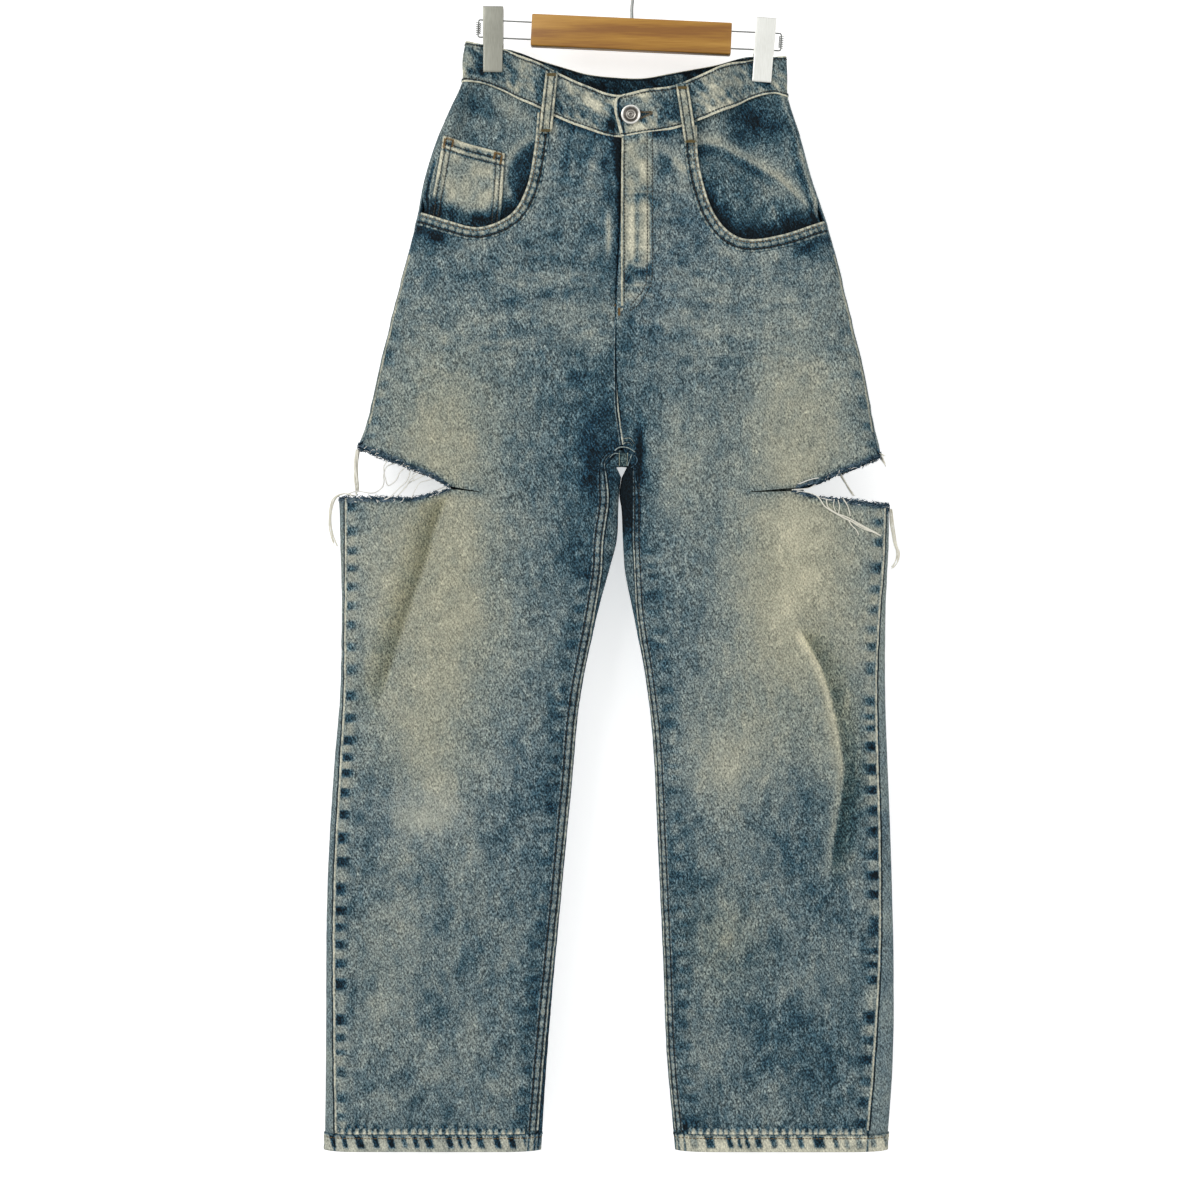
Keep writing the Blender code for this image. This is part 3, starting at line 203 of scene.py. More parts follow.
SECTIONS = {
    RIGHT: table(
        Section,
        (-1150, -289, -85.5, 10.5, 4.0, 14, 16),
        (-1045, -288, -78.5, 7.5, 2.5, 14, 16),
        (-910, -287, -66.5, 6.5, 1.0, 14, 16),
        (-800, -281.5, -56, 6.0, 1.0, 14, 16),
        (-722, -275, -48.5, 4.0, 1.0, 14, 17),
        (-645, -273, -33, 3.0, 2.0, 15, 18),
        (-600, -273.5, -21, 4.0, 6.5, 15, 19),
        (-570, -274.5, -13.3, 5.0, 12.3, 15, 20),
        (-540, -275.3, -11.9, 5.8, 9.6, 16, 21),
        (-527, -275.2, -11.2, 6.0, 9.7, 16, 21),
        (-508, -267, -8.9, 4.0, 14.0, 16, 22),
        (-502, -264.5, -8, 4.0, 16.2, 17, 23),
        (-482, -257.5, -8, 3.0, 0, 17, 24),
        (-456, -248.5, -9.5, 2.0, 0, 18, 25),
        (-418, -240, -13.3, 1.5, 0, 19, 27),
        (-342, -221.4, -13.3, 1.0, 0, 20, 30),
        (-266, -202, -9.2, 1.0, 0, 20, 30),
        (-228, -194.5, -8.8, 1.0, 0, 20, 28),
        (-190, -182.5, -8, 1.0, 0, 21, 25),
        (-160, -169, -8, 1.0, 0, 22, 22),
        (-136, -158.7, -8, 1.0, 0, 23, 20),
        (-115, -158, -8, 1.0, 0, 24, 20),
        (-95, -155, -8, 1.0, 0, 24, 20),
    ),
    LEFT: table(
        Section,
        (-1150, 243, 44, 20.0, 1.5, 14, 16),
        (-1060, 249, 36, 18.0, 1.0, 14, 16),
        (-960, 249.5, 32, 13.0, 1.0, 14, 16),
        (-850, 246.5, 27, 10.0, 1.0, 14, 16),
        (-760, 243, 22.5, 9.0, 1.0, 14, 17),
        (-700, 241.5, 15.5, 8.0, 1.0, 14, 17),
        (-640, 242, 4, 6.0, 3.0, 15, 18),
        (-600, 243.5, -4.0, 4.0, 8.5, 15, 19),
        (-570, 245, -6.0, 4.0, 9.1, 15, 20),
        (-540, 245, -7.4, 3.5, 10.5, 16, 21),
        (-527, 244, -9.4, 3.2, 12.5, 16, 21),
        (-508, 240.5, -7.1, 2.5, 10.2, 16, 22),
        (-502, 240, -8, 2.5, 9.5, 17, 23),
        (-482, 236, -8, 2.5, 0, 17, 24),
        (-456, 230, -9.5, 2.0, 0, 18, 25),
        (-418, 223.3, -13.3, 1.5, 0, 19, 27),
        (-342, 205, -13.3, 1.5, 0, 20, 30),
        (-304, 196, -11, 1.5, 0, 20, 30),
        (-266, 185, -9.2, 1.5, 0, 20, 30),
        (-228, 172, -8.8, 1.5, 0, 20, 28),
        (-190, 161.5, -8, 1.5, 0, 21, 25),
        (-150, 149, -8, 1.0, 0, 22, 21),
        (-130, 148.3, -8, 1.0, 0, 23, 20),
        (-95, 147, -8, 1.0, 0, 24, 20),
    ),
}
# The waistband's edges, by distance across: top and seam on the front, top and seam behind.
Waist = namedtuple("Waist", "across front_top front_seam back_top back_seam")
WAIST = table(
    Waist,
    (-159, -97, -136, -97, -136),
    (-142, -99.5, -136.5, -99.5, -138),
    (-119, -104.5, -145, -103.5, -143),
    (-95, -117, -158.5, -108, -148),
    (-68, -131.5, -173, -116, -156),
    (-42, -143, -183, -123.5, -163.5),
    (-13, -152, -191, -127, -167),
    (13, -147, -188, -127.5, -167.5),
    (42, -143, -183, -122.5, -162.5),
    (73, -130, -172, -117, -157),
    (95, -120, -162, -113, -153),
    (115, -115, -151.5, -111, -150),
    (136, -112, -146.5, -111, -149),
    (149, -111, -150, -111, -150),
)

# The soft creases of the hang, as ridges (positive) and troughs (negative), on the front or behind.
Fold = namedtuple("Fold", "behind top_x top_z bottom_x bottom_z width depth")
FOLDS = table(
    Fold,
    (False, -180, -540, -242, -735, 22, -3.0),
    (False, 158, -650, 200, -785, 20, 3.0),
    (False, 200, -785, 188, -900, 24, 2.5),
)


def bell(away, width, power=2):
    """1 in the middle and fading to nothing on both sides."""
    return np.exp(-(away / width) ** power)


def smooth_value(rows, column, at):
    """A column of a table at places between its rows, on a smooth curve through them."""
    points = sorted((row[0], getattr(row, column)) for row in rows)
    places, values = np.array(points, float).T
    order = np.arange(len(places))
    before, after = np.maximum(order - 1, 0), np.minimum(order + 1, len(places) - 1)
    slopes = (values[after] - values[before]) / (places[after] - places[before])
    at = np.clip(at, places[0], places[-1])
    i = np.clip(np.searchsorted(places, at), 1, len(places) - 1)
    span = places[i] - places[i - 1]
    t = (at - places[i - 1]) / span
    return (values[i - 1] * (1 + 2 * t) * (1 - t) ** 2 + slopes[i - 1] * span * t * (1 - t) ** 2
            + values[i] * t * t * (3 - 2 * t) + slopes[i] * span * t * t * (t - 1))


def ease(value):
    """0 to 1, level at both ends."""
    value = np.clip(value, 0.0, 1.0)
    return value * value * (3 - 2 * value)


def quarter_round(share):
    """The rise of a quarter circle over its width."""
    return np.sqrt(1 - (1 - np.clip(share, 0.0, 1.0)) ** 2)


def at_height(side, column, z):
    return smooth_value(SECTIONS[side], column, z)


def front_seam(x):
    return smooth_value(WAIST, "front_seam", x)


def along_run(x, z, run):
    """How far along a run a place lies, 0 to 1, and how far away from it."""
    run_x, run_z = run.bottom_x - run.top_x, run.bottom_z - run.top_z
    along = ((x - run.top_x) * run_x + (z - run.top_z) * run_z) / (run_x ** 2 + run_z ** 2)
    along = np.clip(along, 0, 1)
    return along, np.hypot(x - run.top_x - along * run_x, z - run.top_z - along * run_z)


def fold_height(x, z, behind):
    total = np.zeros(np.shape(x))
    for fold in FOLDS:
        away = along_run(x, z, fold)[1]
        total += np.where(behind == fold.behind, fold.depth * bell(away, fold.width), 0)
    return total


def cloth_place(side, way, z):
    """Points on the middle of the cloth, without its small relief."""
    way, z = np.broadcast_arrays(np.asarray(way, float), np.asarray(z, float))
    outer, inner = at_height(side, "outer", z), at_height(side, "inner", z)
    x = inner + (outer - inner) * (1 - np.cos(pi * way)) / 2
    from_outer, from_inner = np.abs(outer - x), np.abs(x - inner)
    behind = way > 1
    depth = np.where(behind, at_height(side, "back", z), at_height(side, "front", z))
    depth = depth * quarter_round(from_outer / (9 + 23 * ease((-140 - z) / 120)))
    start = np.where(behind, -395.0, -435.0)
    fallen = np.clip((start - z) / (start - CROTCH_BOTTOM), 0, 1)
    open_share = np.sqrt(1 - fallen ** 2)
    closed = (1 - open_share) ** 2
    inner_turn = (1 - closed) * ease(from_inner / 50) + closed * quarter_round(from_inner / 34)
    depth = depth * (open_share + (1 - open_share) * inner_turn)
    held = (2.3 + 2.6 * ease((front_seam(x) - z) / 30)) * quarter_round(from_outer / 6)
    pressed = (1 - ease((np.abs(x - CLIP_ACROSS[side]) - 15) / 31)) * ease((z + 250) / 105)
    depth = depth + (held - depth) * pressed
    depth = depth + fold_height(x, z, behind) * quarter_round(from_outer / 30)
    return np.stack((x, np.where(behind, depth, -depth), z), axis=-1)


def way_at(side, x, z, behind=False):
    outer, inner = at_height(side, "outer", z), at_height(side, "inner", z)
    way = np.arccos(1 - 2 * np.clip((x - inner) / (outer - inner), 0, 1)) / pi
    return 2 - way if behind else way


def seam_x(side, column, z):
    """Where the side seam or the inseam lies, both on the front."""
    inset = np.maximum(at_height(side, column, z), 0)
    if column == "outseam":
        return at_height(side, "outer", z) + INWARDS[side] * np.maximum(inset, 0.8)
    return at_height(side, "inner", z) - INWARDS[side] * np.where(z >= CROTCH_FRONT, 0, inset)


def seam_way(side, column, z):
    return way_at(side, seam_x(side, column, z), z)


def trim(side, way, z, gap):
    """A way moved by a small distance along the section."""
    start = cloth_place(side, way, z)
    step = np.full(np.shape(start)[:-1], 0.01 if gap > 0 else -0.01)
    for _ in range(6):
        moved = cloth_place(side, np.clip(way + step, 0, 2), z)
        step = step * np.sqrt(abs(gap) / np.maximum(np.linalg.norm(moved - start, axis=-1), 1e-6))
    return way + step


def soft_noise(x, z, size, seed):
    """Smooth random values from -1 to 1, in cells of the given size."""
    values = np.random.default_rng(seed).uniform(-1, 1, (97, 97))
    a, b = x / size + 970.0, z / size + 970.0
    i, j = np.floor(a).astype(int), np.floor(b).astype(int)
    s, t = ease(a - i), ease(b - j)
    low = values[i % 97, j % 97] * (1 - s) + values[(i + 1) % 97, j % 97] * s
    high = values[i % 97, (j + 1) % 97] * (1 - s) + values[(i + 1) % 97, (j + 1) % 97] * s
    return low * (1 - t) + high * t


# Lesser creases: short dents and ridges at the hips, behind the knees and down the shins.
CREASES = table(
    Fold,
    (False, -60, -322, -150, -342, 9, -0.7),
    (False, -45, -352, -160, -372, 10, 0.7),
    (False, 40, -330, 130, -345, 9, -0.7),
    (False, 35, -372, 150, -392, 11, 0.7),
    (False, -20, -470, -75, -540, 10, -0.9),
    (False, 5, -470, 50, -545, 10, -0.9),
    (False, -232, -600, -205, -690, 12, 0.8),
    (False, -120, -560, -128, -700, 16, -0.9),
    (False, 212, -560, 226, -650, 12, 0.9),
    (False, 78, -600, 92, -720, 16, -1.0),
    (False, -225, -830, -130, -872, 13, -0.9),
    (False, -215, -980, -120, -948, 15, 0.9),
    (False, 60, -780, 130, -835, 13, 0.9),
    (False, 105, -985, 190, -955, 15, -0.9),
    (False, -180, -1040, -150, -1120, 12, -0.7),
    (False, 140, -1030, 160, -1115, 12, 0.7),
    (True, -170, -455, -40, -500, 14, -1.6),
    (True, -190, -520, -60, -545, 12, 1.3),
    (True, 165, -450, 35, -500, 14, -1.6),
    (True, 180, -515, 50, -548, 12, 1.3),
    (True, -230, -700, -100, -735, 13, -1.5),
    (True, -225, -775, -95, -748, 12, 1.2),
    (True, 215, -705, 75, -738, 13, -1.5),
    (True, 210, -780, 70, -752, 12, 1.2),
    (True, -160, -900, -180, -1050, 18, 1.2),
    (True, 150, -880, 165, -1040, 18, -1.2),
)


def relief(side, place, behind):
    """Creases, the uneven lie of the cloth and the puckers along its seams, in mm outwards."""
    x, z = place[..., 0], place[..., 2]
    from_outer = np.abs(at_height(side, "outer", z) - x)
    from_inner = np.abs(x - at_height(side, "inner", z))
    total = 0.55 * soft_noise(x, z, 58, 3) + 0.3 * soft_noise(x, z, 27, 4) + 0.12 * soft_noise(x, z, 9, 5)
    for crease in CREASES:
        along, away = along_run(x, z, crease)
        bump = crease.depth * np.sin(pi * np.clip(along, 0.04, 0.96)) ** 0.7 * bell(away, crease.width)
        total += np.where(behind == crease.behind, bump, 0)
    total *= ease(from_outer / 22) * np.where(z < CROTCH_FRONT + 45, ease(from_inner / 22), 1)
    from_clip = np.abs(x - CLIP_ACROSS[side])
    total *= 1 - (1 - ease((from_clip - 15) / 31)) * ease((z + 250) / 105)
    for column, low in (("outseam", -240.0), ("inseam", -500.0)):
        away = np.abs(x - seam_x(side, column, z))
        pucker = 0.35 * soft_noise(x * 0, z, 7.5, 11 if column == "outseam" else 12)
        total += pucker * bell(away, 6) * ease((low - z) / 30)
    return total


def cloth(side, way, z, out, rough=True):
    """Points moved out from the middle of the cloth, along its own normal."""
    way, z = np.broadcast_arrays(np.asarray(way, float), np.asarray(z, float))
    place = cloth_place(side, way, z)
    along = cloth_place(side, np.minimum(way + 0.02, 2), z)
    along = along - cloth_place(side, np.maximum(way - 0.02, 0), z)
    down = cloth_place(side, way, z - 6) - cloth_place(side, way, z + 6)
    normal = np.cross(along, down)
    normal /= np.maximum(np.linalg.norm(normal, axis=-1, keepdims=True), 1e-9)
    sideways = normal[..., 0] * -INWARDS[side] * np.where(np.abs(way - 1) < 0.5, 1, -1)
    outward = np.where(np.abs(normal[..., 1]) > 0.15, normal[..., 1] * (place[..., 1] - 3), sideways)
    normal = normal * np.where(outward > 0, 1, -1)[..., None]
    lift = out + (relief(side, place, way > 1) if rough else 0)
    return place + normal * np.broadcast_to(lift, way.shape)[..., None]


# ---------------------------------------------------------------- the wash
# Indigo cotton twill, bleached in a stone wash and rubbed by hand: cream down the thighs, navy at the
# crotch, the inseams and under the pocket mouths. Each point of the cloth carries how far it has
# faded (wear, 0 navy to 1 cream) and how yellow it has gone (warm), from the patches listed below.
# wear and warm also carry painted light and shade where so marked; warm above 1 is painted olive shade
Fade = namedtuple("Fade", "x z wide tall turn wear warm")
FADES = table(
    Fade,
    (-174, -600, 58, 165, 6, 0.34, 0.6),
    (-160, -445, 62, 62, 0, 0.14, 0.3),
    (-205, -745, 46, 90, 12, 0.16, 0.2),
    (-240, -640, 30, 120, 0, 0.13, 0.1),
    (158, -615, 58, 165, -5, 0.38, 0.6),
    (150, -440, 60, 70, 0, 0.17, 0.2),
    (190, -800, 26, 100, -4, 0.10, 0.2),
    (214, -630, 28, 110, 0, 0.11, 0.1),
    (-22, -470, 44, 84, 0, -0.26, 0.0),
    (-58, -575, 34, 120, -8, -0.02, 0.0),
    (48, -503, 32, 62, 0, 0.19, 0.2),
    (9, -488, 3.4, 24, 0, -0.62, -0.3),
    (-36, -490, 8, 26, 0, -0.22, -0.3),
    (118, -585, 40, 60, 0, 0.08, 0.1),
    (90, -738, 40, 40, 0, 0.10, 0.1),
    (-190, -782, 32, 40, 0, 0.12, 0.1),
    (-238, -817, 22, 40, 0, -0.10, 0.0),
    (66, -272, 22, 26, 0, -0.18, -0.4),
    (20, -335, 22, 40, 0, -0.03, -0.4),
    (212, -893, 17, 36, 0, 0.15, 0.0),
    (68, -1054, 32, 42, 0, 0.15, 0.0),
    (125, -1007, 26, 32, 0, -0.07, 0.0),
    (40, -600, 34, 110, 6, 0.06, 0.0),
    (-40, -372, 34, 46, 0, 0.14, 0.1),
    (-100, -330, 85, 42, 4, -0.03, 0.0),
    (90, -340, 70, 36, -4, 0.08, 0.0),
    (-200, -831, 42, 26, 0, 0.15, -0.5),
    (-110, -800, 40, 90, 8, -0.03, -0.2),
    (-165, -940, 60, 50, 0, 0.06, 0.0),
    (-237, -975, 34, 66, 0, 0.12, 0.1),
    (-150, -1060, 70, 50, 0, 0.02, 0.0),
    (-240, -1085, 34, 45, 0, 0.06, 0.0),
    (85, -789, 48, 46, -8, 0.20, 0.1),
    (88, -950, 36, 50, 0, 0.12, 0.5),
    (161, -815, 28, 36, 0, -0.16, -0.1),
    (190, -872, 48, 62, 6, -0.14, -0.1),
    (165, -1035, 66, 62, 0, -0.09, 0.0),
    (190, -1095, 46, 50, 0, -0.06, 0.0),
    (-186, -284, 26, 12, 4, -0.30, 0.0),
    (172, -297, 20, 11, -10, -0.25, 0.0),
)
# Whiskers: faint pale lines that fan out from the fly and the crotch, with a dark line between them.
Whisker = namedtuple("Whisker", "top_x top_z bottom_x bottom_z width wear")
WHISKERS = table(
    Whisker,
    (-35, -318, -150, -333, 5, 0.10),
    (-30, -332, -140, -350, 4, -0.09),
    (-35, -350, -165, -366, 5, 0.09),
    (-40, -372, -150, -392, 6, 0.07),
    (20, -322, 120, -338, 5, 0.10),
    (22, -340, 130, -360, 4, -0.08),
    (20, -362, 140, -380, 6, 0.09),
    (18, -390, 120, -412, 6, 0.06),
    (23.8, -194.8, 63.6, -234.7, 3.5, 0.17),
)
# Creases of the hang with one sharp side, painted as light and shade: the run from its top, how far
# it fades to the wearer's right and left of it, and its change of wear and warmth. The trough and the
# strip beside the ridge are painted shade, olive where warmth goes above 1; the ridge itself is pale,
# partly wear and partly painted highlight.
Crest = namedtuple("Crest", "run right left wear warm")
RIDGE = ((156.8, -650), (167, -670), (178, -689), (187.6, -717), (194.8, -750), (200, -784), (197.6, -817),
         (190, -860), (186, -907))
CRESTS_WITH_PAINTED_LIGHT = (
    # the trough down the wearer's right thigh: painted shade, olive
    Crest(((-173, -524), (-181, -542), (-188.5, -563), (-193.5, -584), (-201, -605), (-208.5, -627),
           (-230, -693), (-243, -738)), 17, 3.2, -0.04, 1.2),
    # the ridge on the left leg: pale, partly wear and partly painted highlight, then painted shade beside
    # it
    Crest(RIDGE, 6.5, 1.5, 0.23, 0.1),
    Crest([(x + 3.5, z) for x, z in RIDGE], 2.0, 17, -0.12, 1.0),
)
BASE_WEAR = 0.5


def away_from(points, x, z):
    """The distance to the nearest stretch of a run of (x, z) points."""
    best = np.full(np.shape(x), 1e6)
    for (x0, z0), (x1, z1) in zip(points, points[1:]):
        length = max((x1 - x0) ** 2 + (z1 - z0) ** 2, 1e-9)
        t = np.clip(((x - x0) * (x1 - x0) + (z - z0) * (z1 - z0)) / length, 0, 1)
        best = np.minimum(best, np.hypot(x - x0 - t * (x1 - x0), z - z0 - t * (z1 - z0)))
    return best


def roping(z, pitch, seed):
    """0 to 1 in soft spots along a seam, uneven in spacing."""
    beat = np.sin(2 * pi * z / pitch + 3.2 * soft_noise(z * 0, z, pitch * 1.9, seed))
    return ease((beat + 0.15) / 0.8)


def wash(side, points, behind):
    """How faded and how yellow the cloth is at points on it, with the painted light and shade of the
    crests.
    """
    x, z = points[..., 0], points[..., 2]
    wear = np.full(x.shape, BASE_WEAR)
    warm = np.full(x.shape, 0.1)
    for fade in FADES:
        c, s = cos(radians(fade.turn)), sin(radians(fade.turn))
        u, v = (x - fade.x) * c + (z - fade.z) * s, (z - fade.z) * c - (x - fade.x) * s
        share = np.exp(-(u / fade.wide) ** 2 - (v / fade.tall) ** 2)
        # behind it is guessed, so the fades are the same but fainter
        wear += np.where(behind, 0.6 if fade.wear < 0 else 0.35, 1.0) * fade.wear * share
        warm += fade.warm * share
    for line in WHISKERS:
        along, away = along_run(x, z, line)
        share = np.sin(pi * np.clip(along, 0.03, 0.97)) ** 0.6 * bell(away, line.width)
        wear += np.where(behind, 0, line.wear * share)
    # the crests: painted highlight and painted shade, olive in the shade
    for crest in CRESTS_WITH_PAINTED_LIGHT:
        run = np.array(crest.run)[::-1]
        beside = x - np.interp(z, run[:, 1], run[:, 0])
        share = bell(beside, np.where(beside < 0, crest.right, crest.left))
        share = np.where(behind, 0, share * ease((run[-1, 1] - z) / 16) * ease((z - run[0, 1]) / 45))
        wear += crest.wear * share
        warm += crest.warm * share
    wear += 0.05 * soft_noise(x, z, 46, 21) + 0.045 * soft_noise(x, z, 19, 22)
    below_knee = ease((-740 - z) / 120)
    wear += below_knee * (0.07 * soft_noise(x, z, 30, 23) + 0.05 * soft_noise(x, z * 0.7, 8, 24))
    inside = (x - seam_x(side, "outseam", z)) * INWARDS[side]
    rope = ease((-330 - z) / 90) * (0.5 + 0.5 * ease((-500 - z) / 60)) * bell(inside - 6, 6)
    rope = rope * ease(inside / 1.5) * (0.75 + 0.5 * soft_noise(x * 0, z, 60, 35))
    wear += rope * (0.24 - 0.66 * roping(z, 20, 31 if side == RIGHT else 32))
    away = np.abs(x - seam_x(side, "inseam", z))
    inner = ease((CROTCH_BOTTOM + 20 - z) / 40)
    wear += inner * (-0.13 * bell(away, 26))
    rope = inner * bell(away - 16, 6) * ease((-556 - z) / 30)
    wear += rope * (0.05 - 0.18 * roping(z, 17, 33 if side == RIGHT else 34))
    return wear, warm


def denim_paint(name, darker=0.0):
    """Twill with a navy warp and a white weft. The fade and its marbling set the hue; slubs and single
    yarns then make it lighter and darker, most where it is blue."""
    material, tree, shader = new_material(name, 0.92)
    place = add_node(tree, "TexCoord").outputs["Object"]
    wear = add_node(tree, "Attribute", attribute_name="wear").outputs["Fac"]
    wear = reckon(tree, 'SUBTRACT', wear, darker)
    warm = add_node(tree, "Attribute", attribute_name="warm").outputs["Fac"]
    tall = add_node(tree, "Mapping", {"Vector": place, "Scale": (1.0, 1.0, 0.62)}).outputs[0]
    # slubs in the yarn, 2 mm wide and 3 mm tall
    slub = add_node(tree, "TexNoise", {"Vector": tall, "Scale": 540.0, "Detail": 3.0, "Roughness": 0.75})
    # single yarns, drawn a little coarser than the real 0.6 mm
    grain = add_node(tree, "TexNoise", {"Vector": tall, "Scale": 900.0, "Detail": 2.0})
    # marbling left by the stones, 20 mm and 8 mm across
    cloud = add_node(tree, "TexNoise", {"Vector": tall, "Scale": 48.0, "Detail": 3.0, "Roughness": 0.6,
                                        "Distortion": 0.6})
    streak = add_node(tree, "TexNoise", {"Vector": tall, "Scale": 125.0, "Detail": 2.0, "Distortion": 0.4})
    slant = add_node(tree, "Mapping", {"Vector": place, "Rotation": (0.0, radians(34), 0.0)}).outputs[0]
    # the twill line, drawn at 2.9 mm, three times as coarse as real
    twill = add_node(tree, "TexWave", {"Vector": slant, "Scale": 108.0, "Distortion": 1.6, "Detail": 1.0,
                                       "Detail Scale": 3.0}, bands_direction='X')

    def mixed(start, parts):
        for source, amount in parts:
            centred = reckon(tree, 'SUBTRACT', source.outputs["Fac"], 0.5)
            start = reckon(tree, 'MULTIPLY_ADD', centred, amount, start)
        return start

    def tinted(share, colour, code):
        return add_node(tree, "Mix", {0: share, 6: colour, 7: linear(code)}, data_type='RGBA',
                        blend_type='MULTIPLY').outputs[2]

    mottle = mixed(0.0, ((slub, 3.4), (grain, 3.9), (twill, 0.34)))
    contrast = add_node(tree, "MapRange", {"Value": wear, "From Min": 0.25, "From Max": 0.9,
                                           "To Min": 1.6, "To Max": 0.37}).outputs[0]
    change = mixed(reckon(tree, 'MULTIPLY', mottle, 0.06), ((cloud, 0.27), (streak, 0.36)))
    value = reckon(tree, 'MULTIPLY_ADD', change, contrast, wear)
    dyed = add_node(tree, "ValToRGB", {"Fac": value}, stops=(
        (0.0, "#0a161d"), (0.2, "#1b3645"), (0.38, "#3b545f"), (0.52, "#607176"), (0.68, "#848e8b"),
        (0.84, "#a1a498"), (1.0, "#cfcebc"))).outputs[0]
    light = reckon(tree, 'MAXIMUM', reckon(tree, 'MULTIPLY_ADD', mottle, contrast, 1.0), 0.35)
    shaded = add_node(tree, "VectorMath", {0: dyed, 3: light}, operation='SCALE').outputs[0]
    yellow = tinted(warm, shaded, "#f7f1e0")
    # in the shade of a crease the yellow turns to olive
    olive = tinted(reckon(tree, 'SUBTRACT', warm, 1.0), yellow, "#c6c5b8")
    blue = tinted(reckon(tree, 'MULTIPLY', warm, -1.0), olive, "#d5e4f0")
    tree.links.new(blue, shader.inputs["Base Color"])
    shader.inputs["Specular IOR Level"].default_value = 0.2
    bump = add_node(tree, "Bump", {"Height": mottle, "Strength": 0.3, "Distance": 0.0006})
    tree.links.new(bump.outputs[0], shader.inputs["Normal"])
    return material


DENIM_CLOTH = denim_paint("stone_washed_denim")
# The inside faces: the same denim drawn much darker, as painted shade where little light reaches.
SHADED_INSIDE_CLOTH = denim_paint("unwashed_inside_of_denim", 0.44)


# ---------------------------------------------------------------- the fronts
# Two panels of the same denim, each cut from the waist seam to the hem, with a scooped pocket mouth
# and a rip across the thigh. Their edges are turned under at the side seam and the inseam.
EDGE_STEPS = np.array((0, 0.7, 1.5, 2.5, 4.0, 6.0, 8.0))
TOP_ROW, ROWS_FOLLOW_WAIST_TO = -136.0, -310.0
MOUTHS = {
    RIGHT: ((-84.6, -140), (-86.5, -172), (-89.5, -203), (-97, -239), (-112, -264), (-141, -276.5),
            (-170, -271), (-201, -260), (-235, -247)),
    LEFT: ((62.5, -140), (61.8, -180), (64.5, -220), (79, -264.5), (104.5, -287), (144, -283.5),
           (187.5, -268), (215, -257)),
}
RIPS = {
    RIGHT: ((-300, -466), (-257.5, -483), (-232, -492.5), (-207, -501.5), (-185, -511), (-171, -519.5),
            (-140, -525), (-140, -525.6), (-171, -522), (-190, -527.5), (-207, -530.8), (-243, -530),
            (-300, -530.5)),
    LEFT: ((300, -473), (240, -490.5), (214, -501.5), (197, -507), (180.5, -514.8), (157, -520.8),
           (113, -524.6), (113, -525.2), (154, -524.4), (180.5, -530), (199.5, -532), (245, -537),
           (300, -539)),
}
FLY_EDGE, FLY_FOOT = -8.5, -352.0
# Below the crotch seams the legs hang apart and leave a small three-cornered gap.
CROTCH_GAP = ((-13.4, -500.4), (-2.7, -500.6), (-8.1, -511.2))


def spot(x, z, middle_x, middle_z, wide, tall, power=2):
    """1 at a place on the cloth and fading to nothing round it."""
    return np.exp(-np.hypot((x - middle_x) / wide, (z - middle_z) / tall) ** power)


def curve_through(points, steps):
    """A smooth run of points through the given ones."""
    points = np.array(points, float)
    ends = np.vstack((points[:1], points, points[-1:]))
    run = []
    for before, start, end, after in zip(ends, ends[1:], ends[2:], ends[3:]):
        for t in np.arange(steps) / steps:
            run.append(0.5 * (2 * start + (end - before) * t
                              + (2 * before - 5 * start + 4 * end - after) * t * t
                              + (3 * start - before - 3 * end + after) * t ** 3))
    return np.array(run + [points[-1]])


def grid_mesh(name, points):
    """A grid whose rows of points are put in their places, given in mm."""
    rows, columns = points.shape[:2]
    shape = bmesh.new()
    bmesh.ops.create_grid(shape, x_segments=columns - 1, y_segments=rows - 1, size=0.5)
    mesh = mesh_of(name, shape)
    mesh.vertices.foreach_set("co", (points.reshape(-1, 3) * MM).ravel())
    return mesh


def set_values(mesh, **values):
    for name, value in values.items():
        layer = mesh.attributes.get(name) or mesh.attributes.new(name, 'FLOAT', 'POINT')
        layer.data.foreach_set("value", np.ravel(value).astype(np.float32))


def get_values(mesh, name):
    values = np.empty(len(mesh.vertices), np.float32)
    mesh.attributes[name].data.foreach_get("value", values)
    return values


def add_cutter(name, outline, near=-90.0, far=90.0):
    """A flat outline of (x, z) points pushed through in depth."""
    shape = bmesh.new()
    ring = [shape.verts.new((x * MM, near * MM, z * MM)) for x, z in outline]
    face = shape.faces.new(ring)
    pushed = bmesh.ops.extrude_face_region(shape, geom=[face])
    moved = [item for item in pushed["geom"] if isinstance(item, bmesh.types.BMVert)]
    bmesh.ops.translate(shape, verts=moved, vec=(0, (far - near) * MM, 0))
    bmesh.ops.recalc_face_normals(shape, faces=shape.faces)
    return placed(name, mesh_of(name, shape))


def worked_out(thing):
    """The mesh that an object's modifiers or curve give."""
    return bpy.data.meshes.new_from_object(thing.evaluated_get(bpy.context.evaluated_depsgraph_get()))


